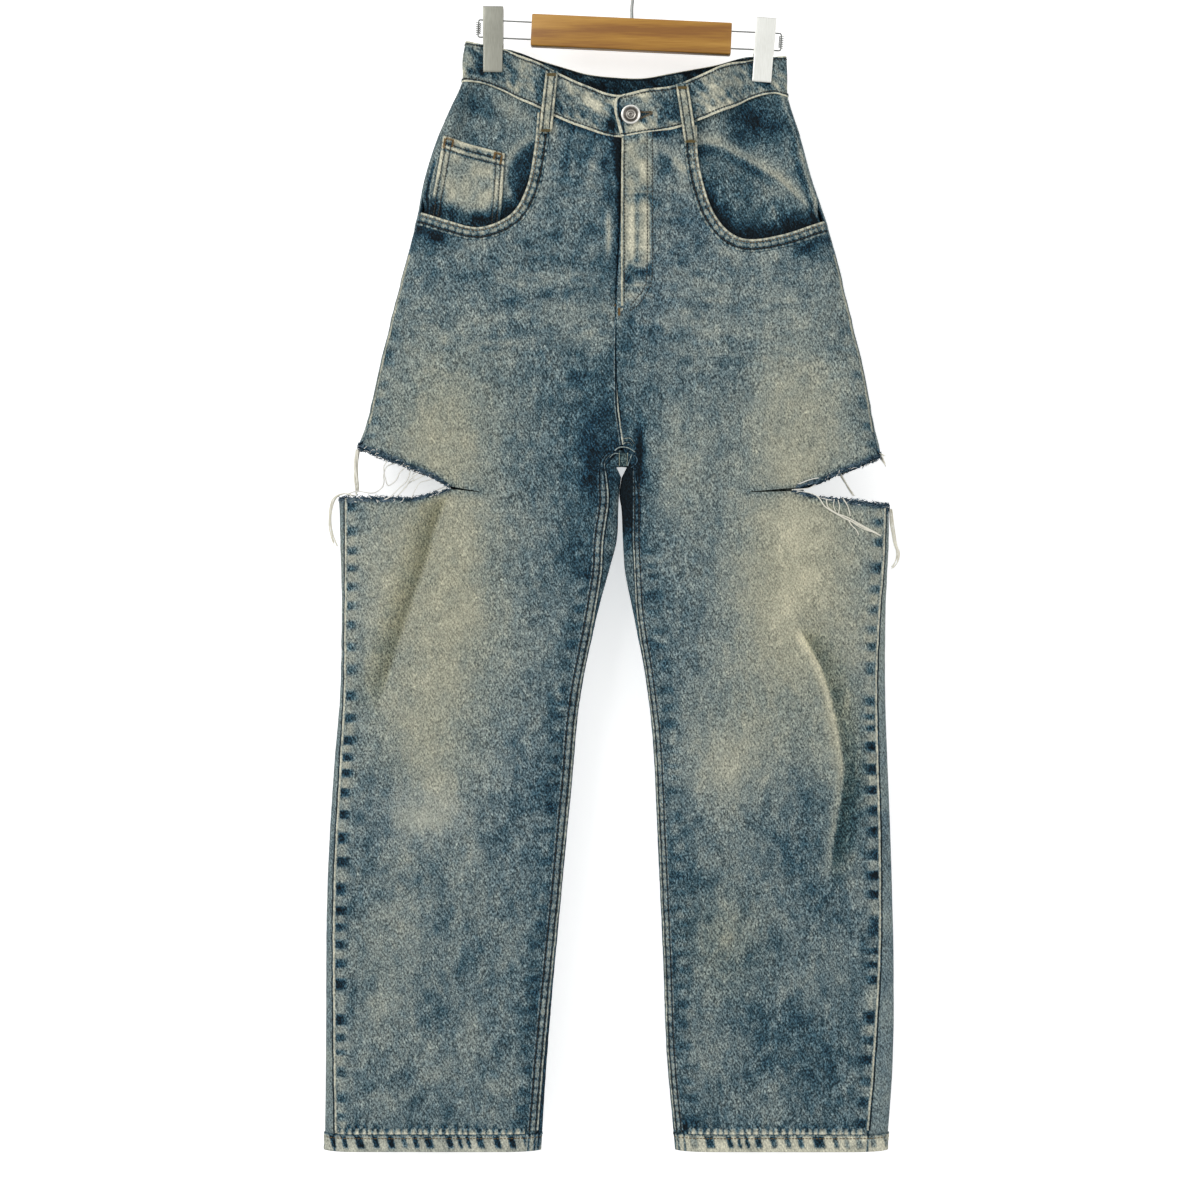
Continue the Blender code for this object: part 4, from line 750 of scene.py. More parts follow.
def made_piece(name, mesh, material, wall=0.0, cutters=(), lining=None):
    """The mesh as a piece: normals made to agree, a wall thickness, a lining, then any cuts."""
    shape = bmesh.new()
    shape.from_mesh(mesh)
    bmesh.ops.remove_doubles(shape, verts=shape.verts, dist=0.00002)
    bmesh.ops.recalc_face_normals(shape, faces=shape.faces)
    middle = sum(face.calc_center_median().y for face in shape.faces) / len(shape.faces)
    if lining and sum(face.normal.y * (face.calc_center_median().y - middle) for face in shape.faces) < 0:
        bmesh.ops.reverse_faces(shape, faces=shape.faces)
    shape.to_mesh(mesh)
    shape.free()
    mesh.materials.append(material)
    piece = placed(name, mesh)
    if wall:
        thick = piece.modifiers.new("wall", 'SOLIDIFY')
        thick.thickness, thick.offset = wall * MM, 0
        if lining:
            mesh.materials.append(lining)
            thick.material_offset = 1
    for cutter in cutters:
        cut = piece.modifiers.new("cut", 'BOOLEAN')
        cut.operation, cut.object, cut.solver = 'DIFFERENCE', cutter, 'MANIFOLD'
    if cutters:
        known = {name: get_values(mesh, name) for name in ("wear", "warm")}
        lookup = KDTree(len(mesh.vertices))
        for vert in mesh.vertices:
            lookup.insert(vert.co, vert.index)
        lookup.balance()
        done = worked_out(piece)
        nearest = [lookup.find(vert.co)[1] for vert in done.vertices]
        set_values(done, **{name: values[nearest] for name, values in known.items()})
        piece.modifiers.clear()
        piece.data = done
        for cutter in cutters:
            bpy.data.objects.remove(cutter, do_unlink=True)
    piece.data.shade_smooth()
    piece.data.set_sharp_from_angle(angle=radians(60))
    return piece


def settle(piece, nodes=()):
    """The piece rides on the body and stands for its CAD nodes."""
    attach(piece, "root")
    if nodes:
        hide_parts(*nodes)
    return piece


def cloth_piece(name, points, wear, warm, wall=0.0, nodes=(), cutters=(), lining=None):
    """A piece of denim from a grid of points, each with its fade."""
    mesh = grid_mesh(name, points)
    set_values(mesh, wear=wear, warm=np.broadcast_to(warm, wear.shape))
    return settle(made_piece(name, mesh, DENIM_CLOTH, wall, cutters, lining), nodes)


def from_mouth_of(side, x, z):
    return away_from(curve_through(MOUTHS[side], 4), x, z)


def panel_rows(above_hips, step):
    return np.concatenate((np.linspace(TOP_ROW, ROWS_FOLLOW_WAIST_TO, above_hips),
                           np.arange(ROWS_FOLLOW_WAIST_TO - step, HEM_TOP - 4, -step)))


def row_heights(side, ways, rows, top_of):
    """Heights of a panel's rows: those above the hips follow the seam at its top."""
    z = np.broadcast_to(rows[:, None], ways.shape).copy()
    share = (z - ROWS_FOLLOW_WAIST_TO) / (TOP_ROW - ROWS_FOLLOW_WAIST_TO)
    for _ in range(3):
        top = top_of(cloth_place(side, ways, z)[..., 0])
        following = ROWS_FOLLOW_WAIST_TO + share * (top - ROWS_FOLLOW_WAIST_TO)
        z = np.where(share > 0, following, np.broadcast_to(rows[:, None], ways.shape))
    return z


def panel_ways(side, rows, ends_of, columns, top_of):
    """Ways and heights of a panel's points, evenly spaced along the cloth, closer at its edges, and
    each point's distance from the panel's two edges."""
    shares = np.linspace(0, 1, 90)[None, :] * np.ones((len(rows), 1))
    for last in (False, True):
        ways = 1 + 0 * shares
        for _ in range(3):
            z = row_heights(side, ways, rows, top_of)
            start, end = ends_of(z)
            ways = start + (end - start) * shares
        places = cloth_place(side, ways, z)
        steps = np.linalg.norm(np.diff(places, axis=1), axis=2)
        run = np.concatenate((np.zeros((len(rows), 1)), np.cumsum(steps, axis=1)), axis=1)
        if last:
            return ways, z, run, run[:, -1:] - run
        new = np.empty((len(rows), columns))
        for row in range(len(rows)):
            length = run[row, -1]
            middle = np.linspace(8, length - 8, columns - 12)[1:-1]
            wanted = np.concatenate((EDGE_STEPS, middle, length - EDGE_STEPS[::-1]))
            new[row] = np.interp(wanted, run[row], shares[row])
        shares = new


def fly_lift(side, x, z):
    """The left front stands out over the zip, from the waist seam to the foot of the fly."""
    return 3.4 * ease((FLY_EDGE + 60 - x) / 30) * ease((z - FLY_FOOT + 25) / 40) * (side == LEFT)


def front_panel(side):
    rows = panel_rows(76, 2.6)

    def ends_of(heights):
        inner_gap = np.where(heights >= CROTCH_FRONT, 0.15, 0.35)
        start = seam_way(side, "inseam", heights)
        start = start + (trim(side, start, heights, 0.35) - start) * inner_gap / 0.35
        return start, trim(side, seam_way(side, "outseam", heights), heights, -0.35)

    ways, heights, from_start, from_end = panel_ways(side, rows, ends_of, 100 if side == RIGHT else 96,
                                                     lambda x: front_seam(x) + 4)
    x, _, z = np.moveaxis(cloth_place(side, ways, heights), -1, 0)
    out = -1.2 * (1 - ease(from_end / 2.6)) - 0.9 * (1 - ease(from_start / 2.2))
    out -= 1.9 * ease((z - front_seam(x) + 1.5) / 3) + 1.5 * ease((HEM_TOP + 1.0 - z) / 2.5)
    out = out + fly_lift(side, x, z)
    # the mouth is turned under, so the cloth is thicker there
    from_mouth = from_mouth_of(side, x, z)
    points = cloth(side, ways, heights, out + 0.7 * bell(from_mouth, 6))
    wear, warm = wash(side, points, False)
    # navy along the rip, partly unworn cloth and partly painted shade at the torn edge; navy in the
    # crotch and below the ends of the pocket mouth
    from_rip = away_from(RIPS[side][1:-1], x, z)
    torn = 0.35 + 0.65 * ease((np.abs(x) - (158 if side == RIGHT else 150)) / 24)
    wear -= torn * (0.32 * bell(from_rip, 5) + 0.15 * bell(from_rip, 1.8))
    wear -= 0.32 * spot(x, z, -6, -492, 12, 14)
    wear -= 0.6 * bell(x + 14, 3.4, 4) * bell(z + 494, 6, 4)
    under_end = ease((np.abs(x - CENTRE) - (157 if side == RIGHT else 160)) / 20)
    wear -= 0.42 * bell(from_mouth - 16, 5) * under_end * (0.7 + 0.9 * soft_noise(x, z, 9, 26))
    wear += 0.09 * bell(from_mouth - 16, 7) * (1 - under_end)
    below_seam = front_seam(x) - z
    # painted shadow under the waistband: dark just below the waist seam
    wear += bell(below_seam - 26, 24) * 0.22 * soft_noise(x, z * 0.3, 6, 27) - 0.34 * bell(below_seam, 6)
    wear += ease((z + 450) / 60) * 0.07 * soft_noise(x * 0.4, z, 5, 28)
    # painted shade along the turned edges at the side seam and the inseam
    wear += -0.5 * (1 - ease(from_end / 1.6)) - 0.4 * (1 - ease(from_start / 1.6))
    above_foot = ease((z + 350) / 14)
    if side == LEFT:
        # the flap over the zip has rubbed pale, with navy left across it and a ridge at each fold
        flap = above_foot * ease((x + 9) / 2) * (1 - ease((x - 17) / 7))
        wear += flap * (0.33 + 0.10 * soft_noise(x, z * 0.35, 6, 24))
        for middle, tall, amount in (
                (-245, 9, -0.38), (-323, 17, -0.62), (-207, 9, -0.12), (-243, 1.6, 0.3), (-311, 1.6, 0.2),
                (-331, 1.8, 0.2)):
            wear += flap * amount * bell(z - middle, tall) * (0.8 + 0.7 * soft_noise(x, z, 6, 25))
        ridged = above_foot * bell(z + 276, 34, 4)
        for middle, wide, amount in (
                (2.0, 1.7, 0.16), (6.5, 1.8, -0.24), (15.0, 1.8, 0.16), (20.5, 1.8, -0.24)):
            wear += ridged * amount * bell(x - middle, wide)
        warm = warm + 0.3 * flap
    else:
        # painted shadow of the fly's flap on the right front: dark beside its edge and in a wedge at its
        # top
        wear -= above_foot * (0.5 * bell(x + 10, 3) + 0.12 * bell(x + 18, 10))
        wear += above_foot * 0.42 * bell(x + 20.5, 2.6) * bell(z + 282, 22, 4)
        wear -= 0.5 * bell(x + 11.5, 3.8) * ease((z + 236) / 24)
    patchy = 0.7 + 0.9 * soft_noise(x, z * 0, 17, 37)
    wear -= 0.34 * bell(z - HEM_TOP - 6, 3.4) * roping(x, 10, 36) * patchy
    mouth = [tuple(point) for point in curve_through(MOUTHS[side], 6)]
    far = -300 * INWARDS[side]
    mouth += [(far, mouth[-1][1]), (far, -90), (mouth[0][0], -90)]
    cutters = [add_cutter("mouth", mouth), add_cutter("rip", RIPS[side]), add_cutter("gap", CROTCH_GAP)]
    return cloth_piece(f"denim_front_{side}", points, wear, warm, DENIM, [f"front_panel_{side}"], cutters)


FRONTS = {side: front_panel(side) for side in (RIGHT, LEFT)}


# ---------------------------------------------------------------- the backs, the yokes and the hems
# The back panels are wider than the fronts and wrap round both folds of each leg, so a strip of them
# shows in front. Each is joined to a pointed yoke, and both legs end in a narrow turned-up hem.
def back_seam(x):
    return smooth_value(WAIST, "back_seam", x)


def yoke_seam(x):
    from_side = np.maximum(0, 1 - np.abs(x - CENTRE) / 160)
    return back_seam(x) - 36 - 34 * from_side


def back_panel(side):
    rows = panel_rows(52, 3.6)
    rows[np.argmin(np.abs(rows - CROTCH_BOTTOM))] = CROTCH_BOTTOM

    def ends_of(heights):
        start = trim(side, seam_way(side, "outseam", heights), heights, 0.35)
        centre = trim(side, np.full(heights.shape, 2.0), heights, -0.3)
        return start, np.where(heights <= CROTCH_BOTTOM, 2.0, centre)

    ways, heights, from_start, _ = panel_ways(side, rows, ends_of, 88, yoke_seam)
    x, _, z = np.moveaxis(cloth_place(side, ways, heights), -1, 0)
    out = -1.2 * (1 - ease(from_start / 2.6)) - 1.2 * ease((HEM_TOP + 1.0 - z) / 2.5)
    out -= 1.4 * ease((z - yoke_seam(x) + 2.5) / 3) * (ways > 1)
    points = cloth(side, ways, heights, out)
    wear, warm = wash(side, points, ways > 1)
    # painted shade along the turned edge at the side seam; the strip in front is paler and bluer
    wear += -0.45 * (1 - ease(from_start / 1.6)) + 0.18 * (ways < 1)
    warm = np.where(ways < 1, warm - 0.9, warm)
    # painted shade where the back shows under the front's torn edge in the rip
    wear -= 0.7 * bell(away_from(RIPS[side][1:-1], x, z), 7.0, 4) * ease((np.abs(x) - 156) / 16)
    mesh = grid_mesh(f"denim_back_{side}", points)
    set_values(mesh, wear=wear, warm=warm)

    # the narrow strip in front of the inner fold, from there to the inseam
    tuck = np.linspace(CROTCH_FRONT - 3.5, CROTCH_BOTTOM + 2.5, 6)
    share = np.linspace(0, 1, 9)
    heights = np.concatenate((tuck, rows[rows <= CROTCH_BOTTOM]))[:, None] + 0 * share
    end = trim(side, seam_way(side, "inseam", heights), heights, -0.35)
    start = np.where(heights <= CROTCH_BOTTOM, 0.0, trim(side, 0 * heights, heights, 0.15))
    ways = start + (end - start) * share
    strip = cloth(side, ways, heights, -0.8 * ease((share - 0.7) / 0.3)
                  - 1.2 * ease((HEM_TOP + 1.0 - heights) / 2.5) * ease(share * 6))
    strip_mesh = grid_mesh("strip", strip)
    wear, warm = wash(side, strip, False)
    wear -= 0.5 * ease((heights + 585) / 45) if side == LEFT else 0.2 - 0.3 * ease((heights + 700) / 120)
    set_values(strip_mesh, wear=wear, warm=warm)
    shape = bmesh.new()
    shape.from_mesh(mesh)
    shape.from_mesh(strip_mesh)
    shape.to_mesh(mesh)
    shape.free()
    bpy.data.meshes.remove(strip_mesh)

    # behind, the rip hangs a little lower along its upper edge and ends in a point
    drop = 0.6 if side == RIGHT else 3.2
    short = [(x, z - drop * (1 - abs(x) / 320) * (i < 6))
             for i, (x, z) in enumerate(RIPS[side]) if abs(x) > 160]
    if side == LEFT:
        short.insert(5, (166, -521.5))
    piece = made_piece(f"denim_back_{side}", mesh, DENIM_CLOTH, DENIM,
                       [add_cutter("rip", short), add_cutter("gap", CROTCH_GAP)])
    return settle(piece, [f"back_panel_{side}"])


def share_grid(columns, rows):
    """Shares across and up a grid of points, 0 to 1."""
    return np.meshgrid(np.linspace(0, 1, columns), np.linspace(0, 1, rows))


def yoke(side):
    around, up = share_grid(96, 22)
    ways, z = 1 + around, -150 + 0 * up
    for _ in range(4):
        across = cloth_place(side, ways, z)[..., 0]
        top, bottom = back_seam(across) + 4, yoke_seam(across) - 1
        z = bottom + (top - bottom) * up
        start = trim(side, seam_way(side, "outseam", z), z, 0.35)
        ways = start + (2 - start) * around
    x = cloth_place(side, ways, z)[..., 0]
    points = cloth(side, ways, z, -1.9 * ease((z - back_seam(x) + 1.5) / 3) + 0.35)
    wear, warm = wash(side, points, ways > 1)
    wear += 0.12 * bell(z - yoke_seam(x), 2.5)
    return cloth_piece(f"denim_yoke_{side}", points, wear, warm, DENIM, [f"back_yoke_{side}"])


def hem(side):
    """Folded twice and stitched through: it stands out a little and ropes along its lower edge."""
    around, up = share_grid(401, 17)
    ways, z = 2 * around, HEM_BOTTOM + (HEM_TOP - HEM_BOTTOM) * up
    x = cloth_place(side, ways, z)[..., 0]
    leaning = x + (z - HEM_BOTTOM) * 0.25
    dip = roping(leaning, 12.6, 41 + (side == LEFT))
    dip *= np.clip(1.1 + 0.9 * soft_noise(leaning, z * 0, 21, 43), 0, 1)
    dip *= ease((0.97 - up) / 0.1) * ease((up - 0.1) / 0.25)
    seams = [(x - seam_x(side, column, z)) * INWARDS[side] for column in ("outseam", "inseam")]
    on_front = ease((1 - ways) / 0.02)
    dip *= 1 - on_front * bell(seams[1] + 5, 5.5, 8)
    out = 0.8 - 0.5 * dip + 0.25 * bell(up - 0.1, 0.1)
    out = out * ease(np.minimum(np.minimum(ways, 2 - ways), 1) / 0.05)
    points = cloth(side, ways, z, out)
    points[:, -1] = points[:, 0]
    wear, warm = wash(side, points, ways > 1)
    wear = (0.86 if side == RIGHT else 0.97) + 0.3 * (wear - BASE_WEAR) - 0.78 * dip
    wear += 0.12 * soft_noise(x, z, 9, 44) - 0.5 * bell(up - 1, 0.07)
    wear -= on_front * sum(0.6 * bell(seam - line, 0.9) for seam, line in (
        (seams[0], 0), (seams[1], 0.6), (seams[1], -2.4), (seams[1], -7.8)))
    return cloth_piece(f"denim_hem_{side}", points, wear, warm + (-0.2 if side == RIGHT else 0.1), 2.2,
                       [f"hem_{side}"])


BACKS = {side: back_panel(side) for side in (RIGHT, LEFT)}
YOKES = {side: yoke(side) for side in (RIGHT, LEFT)}
HEMS = {side: hem(side) for side in (RIGHT, LEFT)}


# ---------------------------------------------------------------- the pocket facings and the small pocket
# Behind each scooped mouth lies a facing of the same denim, sewn in at the side seam and the waist.
# The wearer's right one carries a small fifth pocket, worn to cream, navy along its foot.
FACING_INNER = {RIGHT: -68.0, LEFT: 44.0}
FACING_BELOW = {RIGHT: -291.0, LEFT: -303.0}
MOUTH_AT_SIDE = {RIGHT: -262.0, LEFT: -268.0}
WATCH_CORNERS = ((-175.3, -189), (-118.3, -204.3), (-122.8, -279.5), (-190.6, -267.5))


def facing_sink(side, x, z):
    """How far the facing lies inside the front: least at the side seam and under a clip."""
    from_side = ease(np.abs(seam_x(side, "outseam", z) - x) / 24)
    under_front = ease((MOUTH_AT_SIDE[side] + 22 - z) / 17)
    below_waist = ease((front_seam(x) - z) / 24)
    from_clip = ease((np.abs(x - CLIP_ACROSS[side]) - 12) / 24)
    return -(2.4 + 2.2 * np.maximum(below_waist, from_clip)) * np.maximum(from_side, under_front)


def facing(side):
    across_share, up = share_grid(86, 84)
    x = FACING_INNER[side] + 0 * up
    for _ in range(5):
        top = front_seam(x) + 3
        z = FACING_BELOW[side] + (top - FACING_BELOW[side]) * up
        start = way_at(side, FACING_INNER[side] + 0 * z, z)
        end = trim(side, seam_way(side, "outseam", z), z, -0.7)
        way = start + (end - start) * across_share
        x = cloth_place(side, way, z)[..., 0]
    out = facing_sink(side, x, z) - 1.2 * ease((z - front_seam(x) + 1.5) / 3)
    points = cloth(side, way, z, out + 0.3 * soft_noise(x, z, 22, 51))
    wear, warm = wash(side, points, False)
    wear = (0.52 if side == RIGHT else 0.55) + 0.3 * (wear - BASE_WEAR)
    wear += 0.07 * soft_noise(x, z, 16, 52)
    from_mouth = from_mouth_of(side, x, z)
    low = ease((-225 - z) / 40)
    # darker towards the mouth: painted shadow of the front's edge
    wear -= 0.45 * bell(from_mouth, 17) * low + 0.16 * bell(from_mouth, 8)
    if side == RIGHT:
        # painted shade in the gaping pocket: a dark oval, with a painted highlight round its rim
        gape_shade_oval = np.hypot((x + 91) / 23, (z + 226) / 30)
        wear += 0.18 * bell(gape_shade_oval - 1.18, 0.14) - 0.34 * bell(gape_shade_oval, 1, 10)
        from_side = x - seam_x(side, "outseam", z)
        line = 0.2 * bell(from_side - 7, 0.9) - 0.5 * bell(from_side - 4.8, 1.2)
        wear += ease((-205 - z) / 15) * line
        wear -= 0.2 * spot(x, z, -150, -156, 18, 14)
        wear += 0.16 * bell(front_seam(x) - z - 14, 9) * ease((x + 140) / 20)
    else:
        # a painted highlight along a crease that runs down to the side seam, with painted shade of a
        # hollow below it
        crease_x, crease_z = (55, 71, 88, 104.5, 140, 176), (-199, -195, -198, -206, -228, -261)
        below = np.interp(x, crease_x, crease_z) - z
        wear += 0.26 * bell(below, np.where(below > 0, 2.4, 11))
        wear -= 0.24 * bell(below - 8, 6) * ease((150 - x) / 30)
        wear -= 0.46 * spot(x, z, 120, -173, 30, 23)
        from_side = seam_x(side, "outseam", z) - x
        wear += 0.22 * bell(from_side - 3, 1.6) - 0.34 * bell(from_side - 8, 3) * ease((-196 - z) / 20)
        wear += 0.24 * bell(away_from(((134, -256), (143, -284)), x, z), 2)
        wear -= 0.22 * bell(x - 156, 6) * ease((z + 215) / 15)
        # more painted shade of the hollow further below the crease
        wear -= 0.10 * ease((below - 10) / 20)
    return cloth_piece(f"denim_facing_{side}", points, wear, warm + 0.12, DENIM, [f"pocket_facing_{side}"])


def over(side, x, z, out, behind=False, rough=True):
    """Points over (x, z) places of the cloth, on the front or behind."""
    return cloth(side, way_at(side, x, z, behind), z, out, rough)


def watch_pocket():
    across_share, up = share_grid(71, 85)
    corners = np.array(WATCH_CORNERS, float)
    top = corners[0] + (corners[1] - corners[0]) * across_share[..., None]
    bottom = corners[3] + (corners[2] - corners[3]) * across_share[..., None]
    place = bottom + (top - bottom) * up[..., None]
    x, z = place[..., 0], place[..., 1]
    edge = np.minimum(np.minimum(across_share, 1 - across_share) * 60, np.minimum(up, 1 - up) * 74)
    lip = bell(edge - 1.2, 1.1)
    out = facing_sink(RIGHT, x, z) + 2.4 + 0.35 * lip - 0.9 * (1 - ease(edge / 0.9))
    points = over(RIGHT, x, z, out)
    wear = 0.80 - 0.66 * ease((18 - up * 74 + 6 * np.abs(2 * across_share - 1)) / 13)
    wear += 0.16 * soft_noise(x, z * 0.6, 7, 53) + 0.10 * soft_noise(x, z, 15, 54)
    wear -= 0.12 * spot(across_share, up, 0.33, 0.62, 0.24, 0.14)
    from_side, from_top = np.minimum(across_share, 1 - across_share) * 60, (1 - up) * 74
    for away, lines in ((from_side, (3.4, 8.2)), (from_top, (6.6, 12.2))):
        for line in lines:
            wear -= (0.26 if away is from_side else 0.5) * bell(away - line, 1.1)
    wear += 0.14 * bell(from_top - 9.4, 1.2)
    wear -= 0.3 * roping(x, 9, 55) * bell(from_top - 6, 3)
    # a pale worn lip, and painted shade right at the pocket's edge
    wear += 0.3 * lip * ease((up * 74 - 14) / 12) - 0.3 * bell(edge - 0.1, 0.5)
    return cloth_piece("denim_watch_pocket", points, wear, 0.35, 1.0, ["watch_pocket"])


FACINGS = {side: facing(side) for side in (RIGHT, LEFT)}
WATCH = watch_pocket()


# ---------------------------------------------------------------- the waistband
# One straight strip, two layers pressed together, from the button end under the fly, round the back,
# to the rounded buttonhole end. Its edges have worn to a cream lip with a dark line beside it.
Run = namedtuple("Run", "side start end lift lap_from")
BAND_RUNS = table(
    Run,
    (LEFT, 0.14, 0.0, -1.5, -8.0),
    (RIGHT, 0.0, 2.0, -1.5, -12.0),
    (LEFT, 2.0, 0.0, 1.5, 8.0),
)
BUTTON = Vector((0.4, 0, -170.5))
BAND_SHARES = np.array((
    0, 0.012, 0.025, 0.038, 0.052, 0.066, 0.082, 0.11, 0.15, 0.2, 0.26, 0.32, 0.38, 0.44, 0.5, 0.56,
    0.62, 0.68, 0.74, 0.8, 0.85, 0.89, 0.92, 0.937, 0.952, 0.964, 0.976, 0.988, 1.0))
LOOPS_IN_FRONT = ((-73.6, -79.8), (48.4, 57.0))


def length_along(points):
    """How far each point is along a row of points."""
    return np.concatenate(((0,), np.cumsum(np.linalg.norm(np.diff(points, axis=0), axis=1))))


def band_height(side, way, share):
    z = np.full(np.broadcast(way, share).shape, -130.0)
    for _ in range(4):
        x = cloth_place(side, way, z)[..., 0]
        top = np.where(way > 1, smooth_value(WAIST, "back_top", x),
                       smooth_value(WAIST, "front_top", x))
        seam = np.where(way > 1, back_seam(x), front_seam(x))
        z = seam + 0.15 + (top - seam) * share
    return z


def lap_lift(run, way, x):
    """How far the band's overlapping end stands out over the one beneath it."""
    return np.where(way < 1, run.lift * ease(1 - np.abs(x - run.lap_from) / 60), 0)


def waistband():
    columns = []
    for run in BAND_RUNS:
        dense = np.linspace(run.start, run.end, 400)
        middle = cloth_place(run.side, dense, band_height(run.side, dense, 0.5))
        length = length_along(middle)
        wanted = np.linspace(0, length[-1], max(int(length[-1] / 1.9), 3))
        if run is BAND_RUNS[-1]:
            finer = length[-1] - np.arange(9, -0.1, -0.75)
            wanted = np.concatenate((wanted[wanted < length[-1] - 10], finer))
        ways = np.interp(wanted, length, dense)
        if columns:
            ways = ways[1:]
        ways = ways[None, :] * np.ones((len(BAND_SHARES), 1))
        share = BAND_SHARES[:, None] * np.ones(ways.shape)
        height = band_height(run.side, ways, share)
        across = cloth_place(run.side, ways, height)[..., 0]
        front = ways < 1
        lift = lap_lift(run, ways, across)
        lip = bell(share - 0.985, 0.014) + bell(share - 0.015, 0.014)
        pressed = 1 - ease((np.abs(across - CLIP_ACROSS[run.side]) - 12) / 20)
        out = lift + (0.3 * lip + 0.35 * soft_noise(across, height, 14, 61)) * (1 - pressed)
        out = out - 0.25 * (bell(share - 0.06, 0.02) + bell(share - 0.94, 0.02))
        points = cloth(run.side, ways, height, out, rough=False)
        if run is BAND_RUNS[-1]:
            end_x = np.interp(BAND_SHARES, (0, 0.3, 0.6, 0.84, 0.91, 0.96, 1),
                              (-8.8, -12.0, -15.0, -15.2, -14, -11.5, -7))
            near = np.clip(1 - (across - CENTRE) / 16, 0, 1) * front
            points[..., 0] += near * (end_x[:, None] - CENTRE)
        slanted = across + 0.9 * height
        wear = 0.65 + 0.19 * soft_noise(slanted, height * 0.4, 7, 62)
        wear += 0.18 * soft_noise(across, height, 20, 63)
        wear += 0.2 * soft_noise(slanted, height, 3.5, 65)
        for top, bottom in LOOPS_IN_FRONT:
            centre_x = bottom + (top - bottom) * share
            wear -= np.where(front, 0.36 * bell(across - centre_x, 10), 0)
        wear -= 0.12 * pressed
        # a ring of painted shadow round the button, and pale and navy patches to either side of it
        for amount, *patch in (
                (-0.5, 0.4, -170.5, 12, 12), (-0.24, -40, -172, 16, 9), (0.36, 5, -181, 15, 5),
                (0.3, 6, -151, 15, 4), (-0.42, 32, -165, 16, 17), (-0.34, -22, -182, 9, 8),
                (0.5, 24, -173, 2.2, 7), (0.15, -50, -153, 13, 10), (0.12, -30, -160, 10, 10)):
            wear += np.where(front, amount * spot(across, height, *patch, 3), 0)
        wear -= 0.24 * roping(across, 11, 64) * bell(share - 0.24, 0.09)
        wear += 0.5 * ease((share - 0.969) / 0.012) + 0.46 * ease((0.034 - share) / 0.012)
        wear += 0.12 * ease((0.3 - share) / 0.12)
        wear -= 0.6 * bell(share - 0.953, 0.012) + 0.65 * bell(share - 0.052, 0.013)
        if run is BAND_RUNS[-1]:
            from_end = points[..., 0] - end_x[:, None]
            wear += front * (0.75 * bell(from_end - 0.8, 1.8) - 0.8 * bell(from_end - 4.0, 1.0))
        else:
            # painted shadow of the overlapping end on the band beneath it
            wear -= 0.5 * bell(across + 17, 3) * front * ease((0.8 - share) / 0.4)
        columns.append((points, wear))
    points, wear = (np.concatenate(parts, axis=1) for parts in zip(*columns))
    hole = [(BUTTON.x + x, BUTTON.z + z) for x, z in (
        (-3, -2), (3, -3.6), (8.5, -3.2), (19.6, 2.1), (8.5, 1.8), (-3, 2))]
    face = over(LEFT, BUTTON.x, BUTTON.z, 1.5)[1]
    cutter = add_cutter("buttonhole", hole, face - 8, face + 1.5)
    # its inside face takes the darker copy of the denim: painted shade
    return cloth_piece("denim_waistband", points, wear, 0.28, 2.4, ["waistband"], [cutter], SHADED_INSIDE_CLOTH)


WAISTBAND = waistband()


# ---------------------------------------------------------------- the belt loops and the back pockets
# The loops are folded strips, tacked at both ends, with a worn ridge along each edge. The back
# pockets aren't seen in front; they are plain five-sided patches with a turned mouth.
Loop = namedtuple("Loop", "name top bottom behind drop lap")
LOOPS = table(
    Loop,
    ("front_right", -73.6, -79.8, False, 21.0, 0.0),
    ("front_left", 48.4, 57.0, False, 20.0, 0.5),
    ("back_right", -82.0, -84.0, True, 13.0, 0.0),
    ("back_centre", 6.0, 6.0, True, 13.0, 0.0),
    ("back_left", 76.0, 78.0, True, 13.0, 0.0),
)
BACK_POCKETS = {RIGHT: -98.0, LEFT: 78.0}


def loop_place(loop, across_share, up, extra):
    """Places on a loop: across it 0 to 1, and up it."""
    side = LEFT if loop.top > CENTRE else RIGHT
    word = "back" if loop.behind else "front"
    middle = loop.bottom + (loop.top - loop.bottom) * up
    high = smooth_value(WAIST, word + "_top", middle) - 1
    low = smooth_value(WAIST, word + "_seam", middle) - loop.drop
    x, z = middle + 11 * (across_share - 0.5), low + (high - low) * up
    out = 2.7 + loop.lap + 2 * np.sin(pi * up) ** 2 + extra
    return over(side, x, z, out, loop.behind, rough=False)


def belt_loop(loop):
    across, up = share_grid(15, 60)
    edge = np.minimum(across, 1 - across) * 11
    ridge = bell(edge - 0.9, 0.8)
    points = loop_place(loop, across, up, 0.5 * ridge - 0.3 * bell(edge - 2.4, 0.6))
    wear = 0.80 + 0.2 * ridge - 0.75 * bell(edge - 2.3, 0.7)
    wear += 0.16 * soft_noise(across * 11, up * 60, 5, 71 + len(loop.name))
    wear -= 0.3 * bell(np.minimum(up, 1 - up) * 60, 4)
    return cloth_piece(f"denim_loop_{loop.name}", points, wear, 0.45, 1.9, [f"belt_loop_{loop.name}"])


def back_pocket(side):
    share, up = share_grid(52, 56)
    half = 74 - 9 * (1 - up)
    x = BACK_POCKETS[side] + half * (2 * share - 1)
    foot = -412 - 20 * (1 - np.abs(2 * share - 1))
    z = foot + (-262 - foot) * up
    edge = np.minimum(np.minimum(share, 1 - share) * 148, np.minimum(up, 1 - up) * 160)
    out = 1.9 + 0.3 * bell(edge - 2, 1.5) + 0.5 * soft_noise(x, z, 36, 75)
    out = out - 0.5 * (1 - ease(edge / 1.2))
    points = over(side, x, z, out, True, rough=False)
    wear, warm = wash(side, points, True)
    wear = wear + 0.08 + 0.14 * bell(edge - 1.2, 1.2) - 0.12 * bell(edge - 7, 3)
    return cloth_piece(f"denim_back_pocket_{side}", points, wear, warm, DENIM, [f"back_pocket_{side}"])


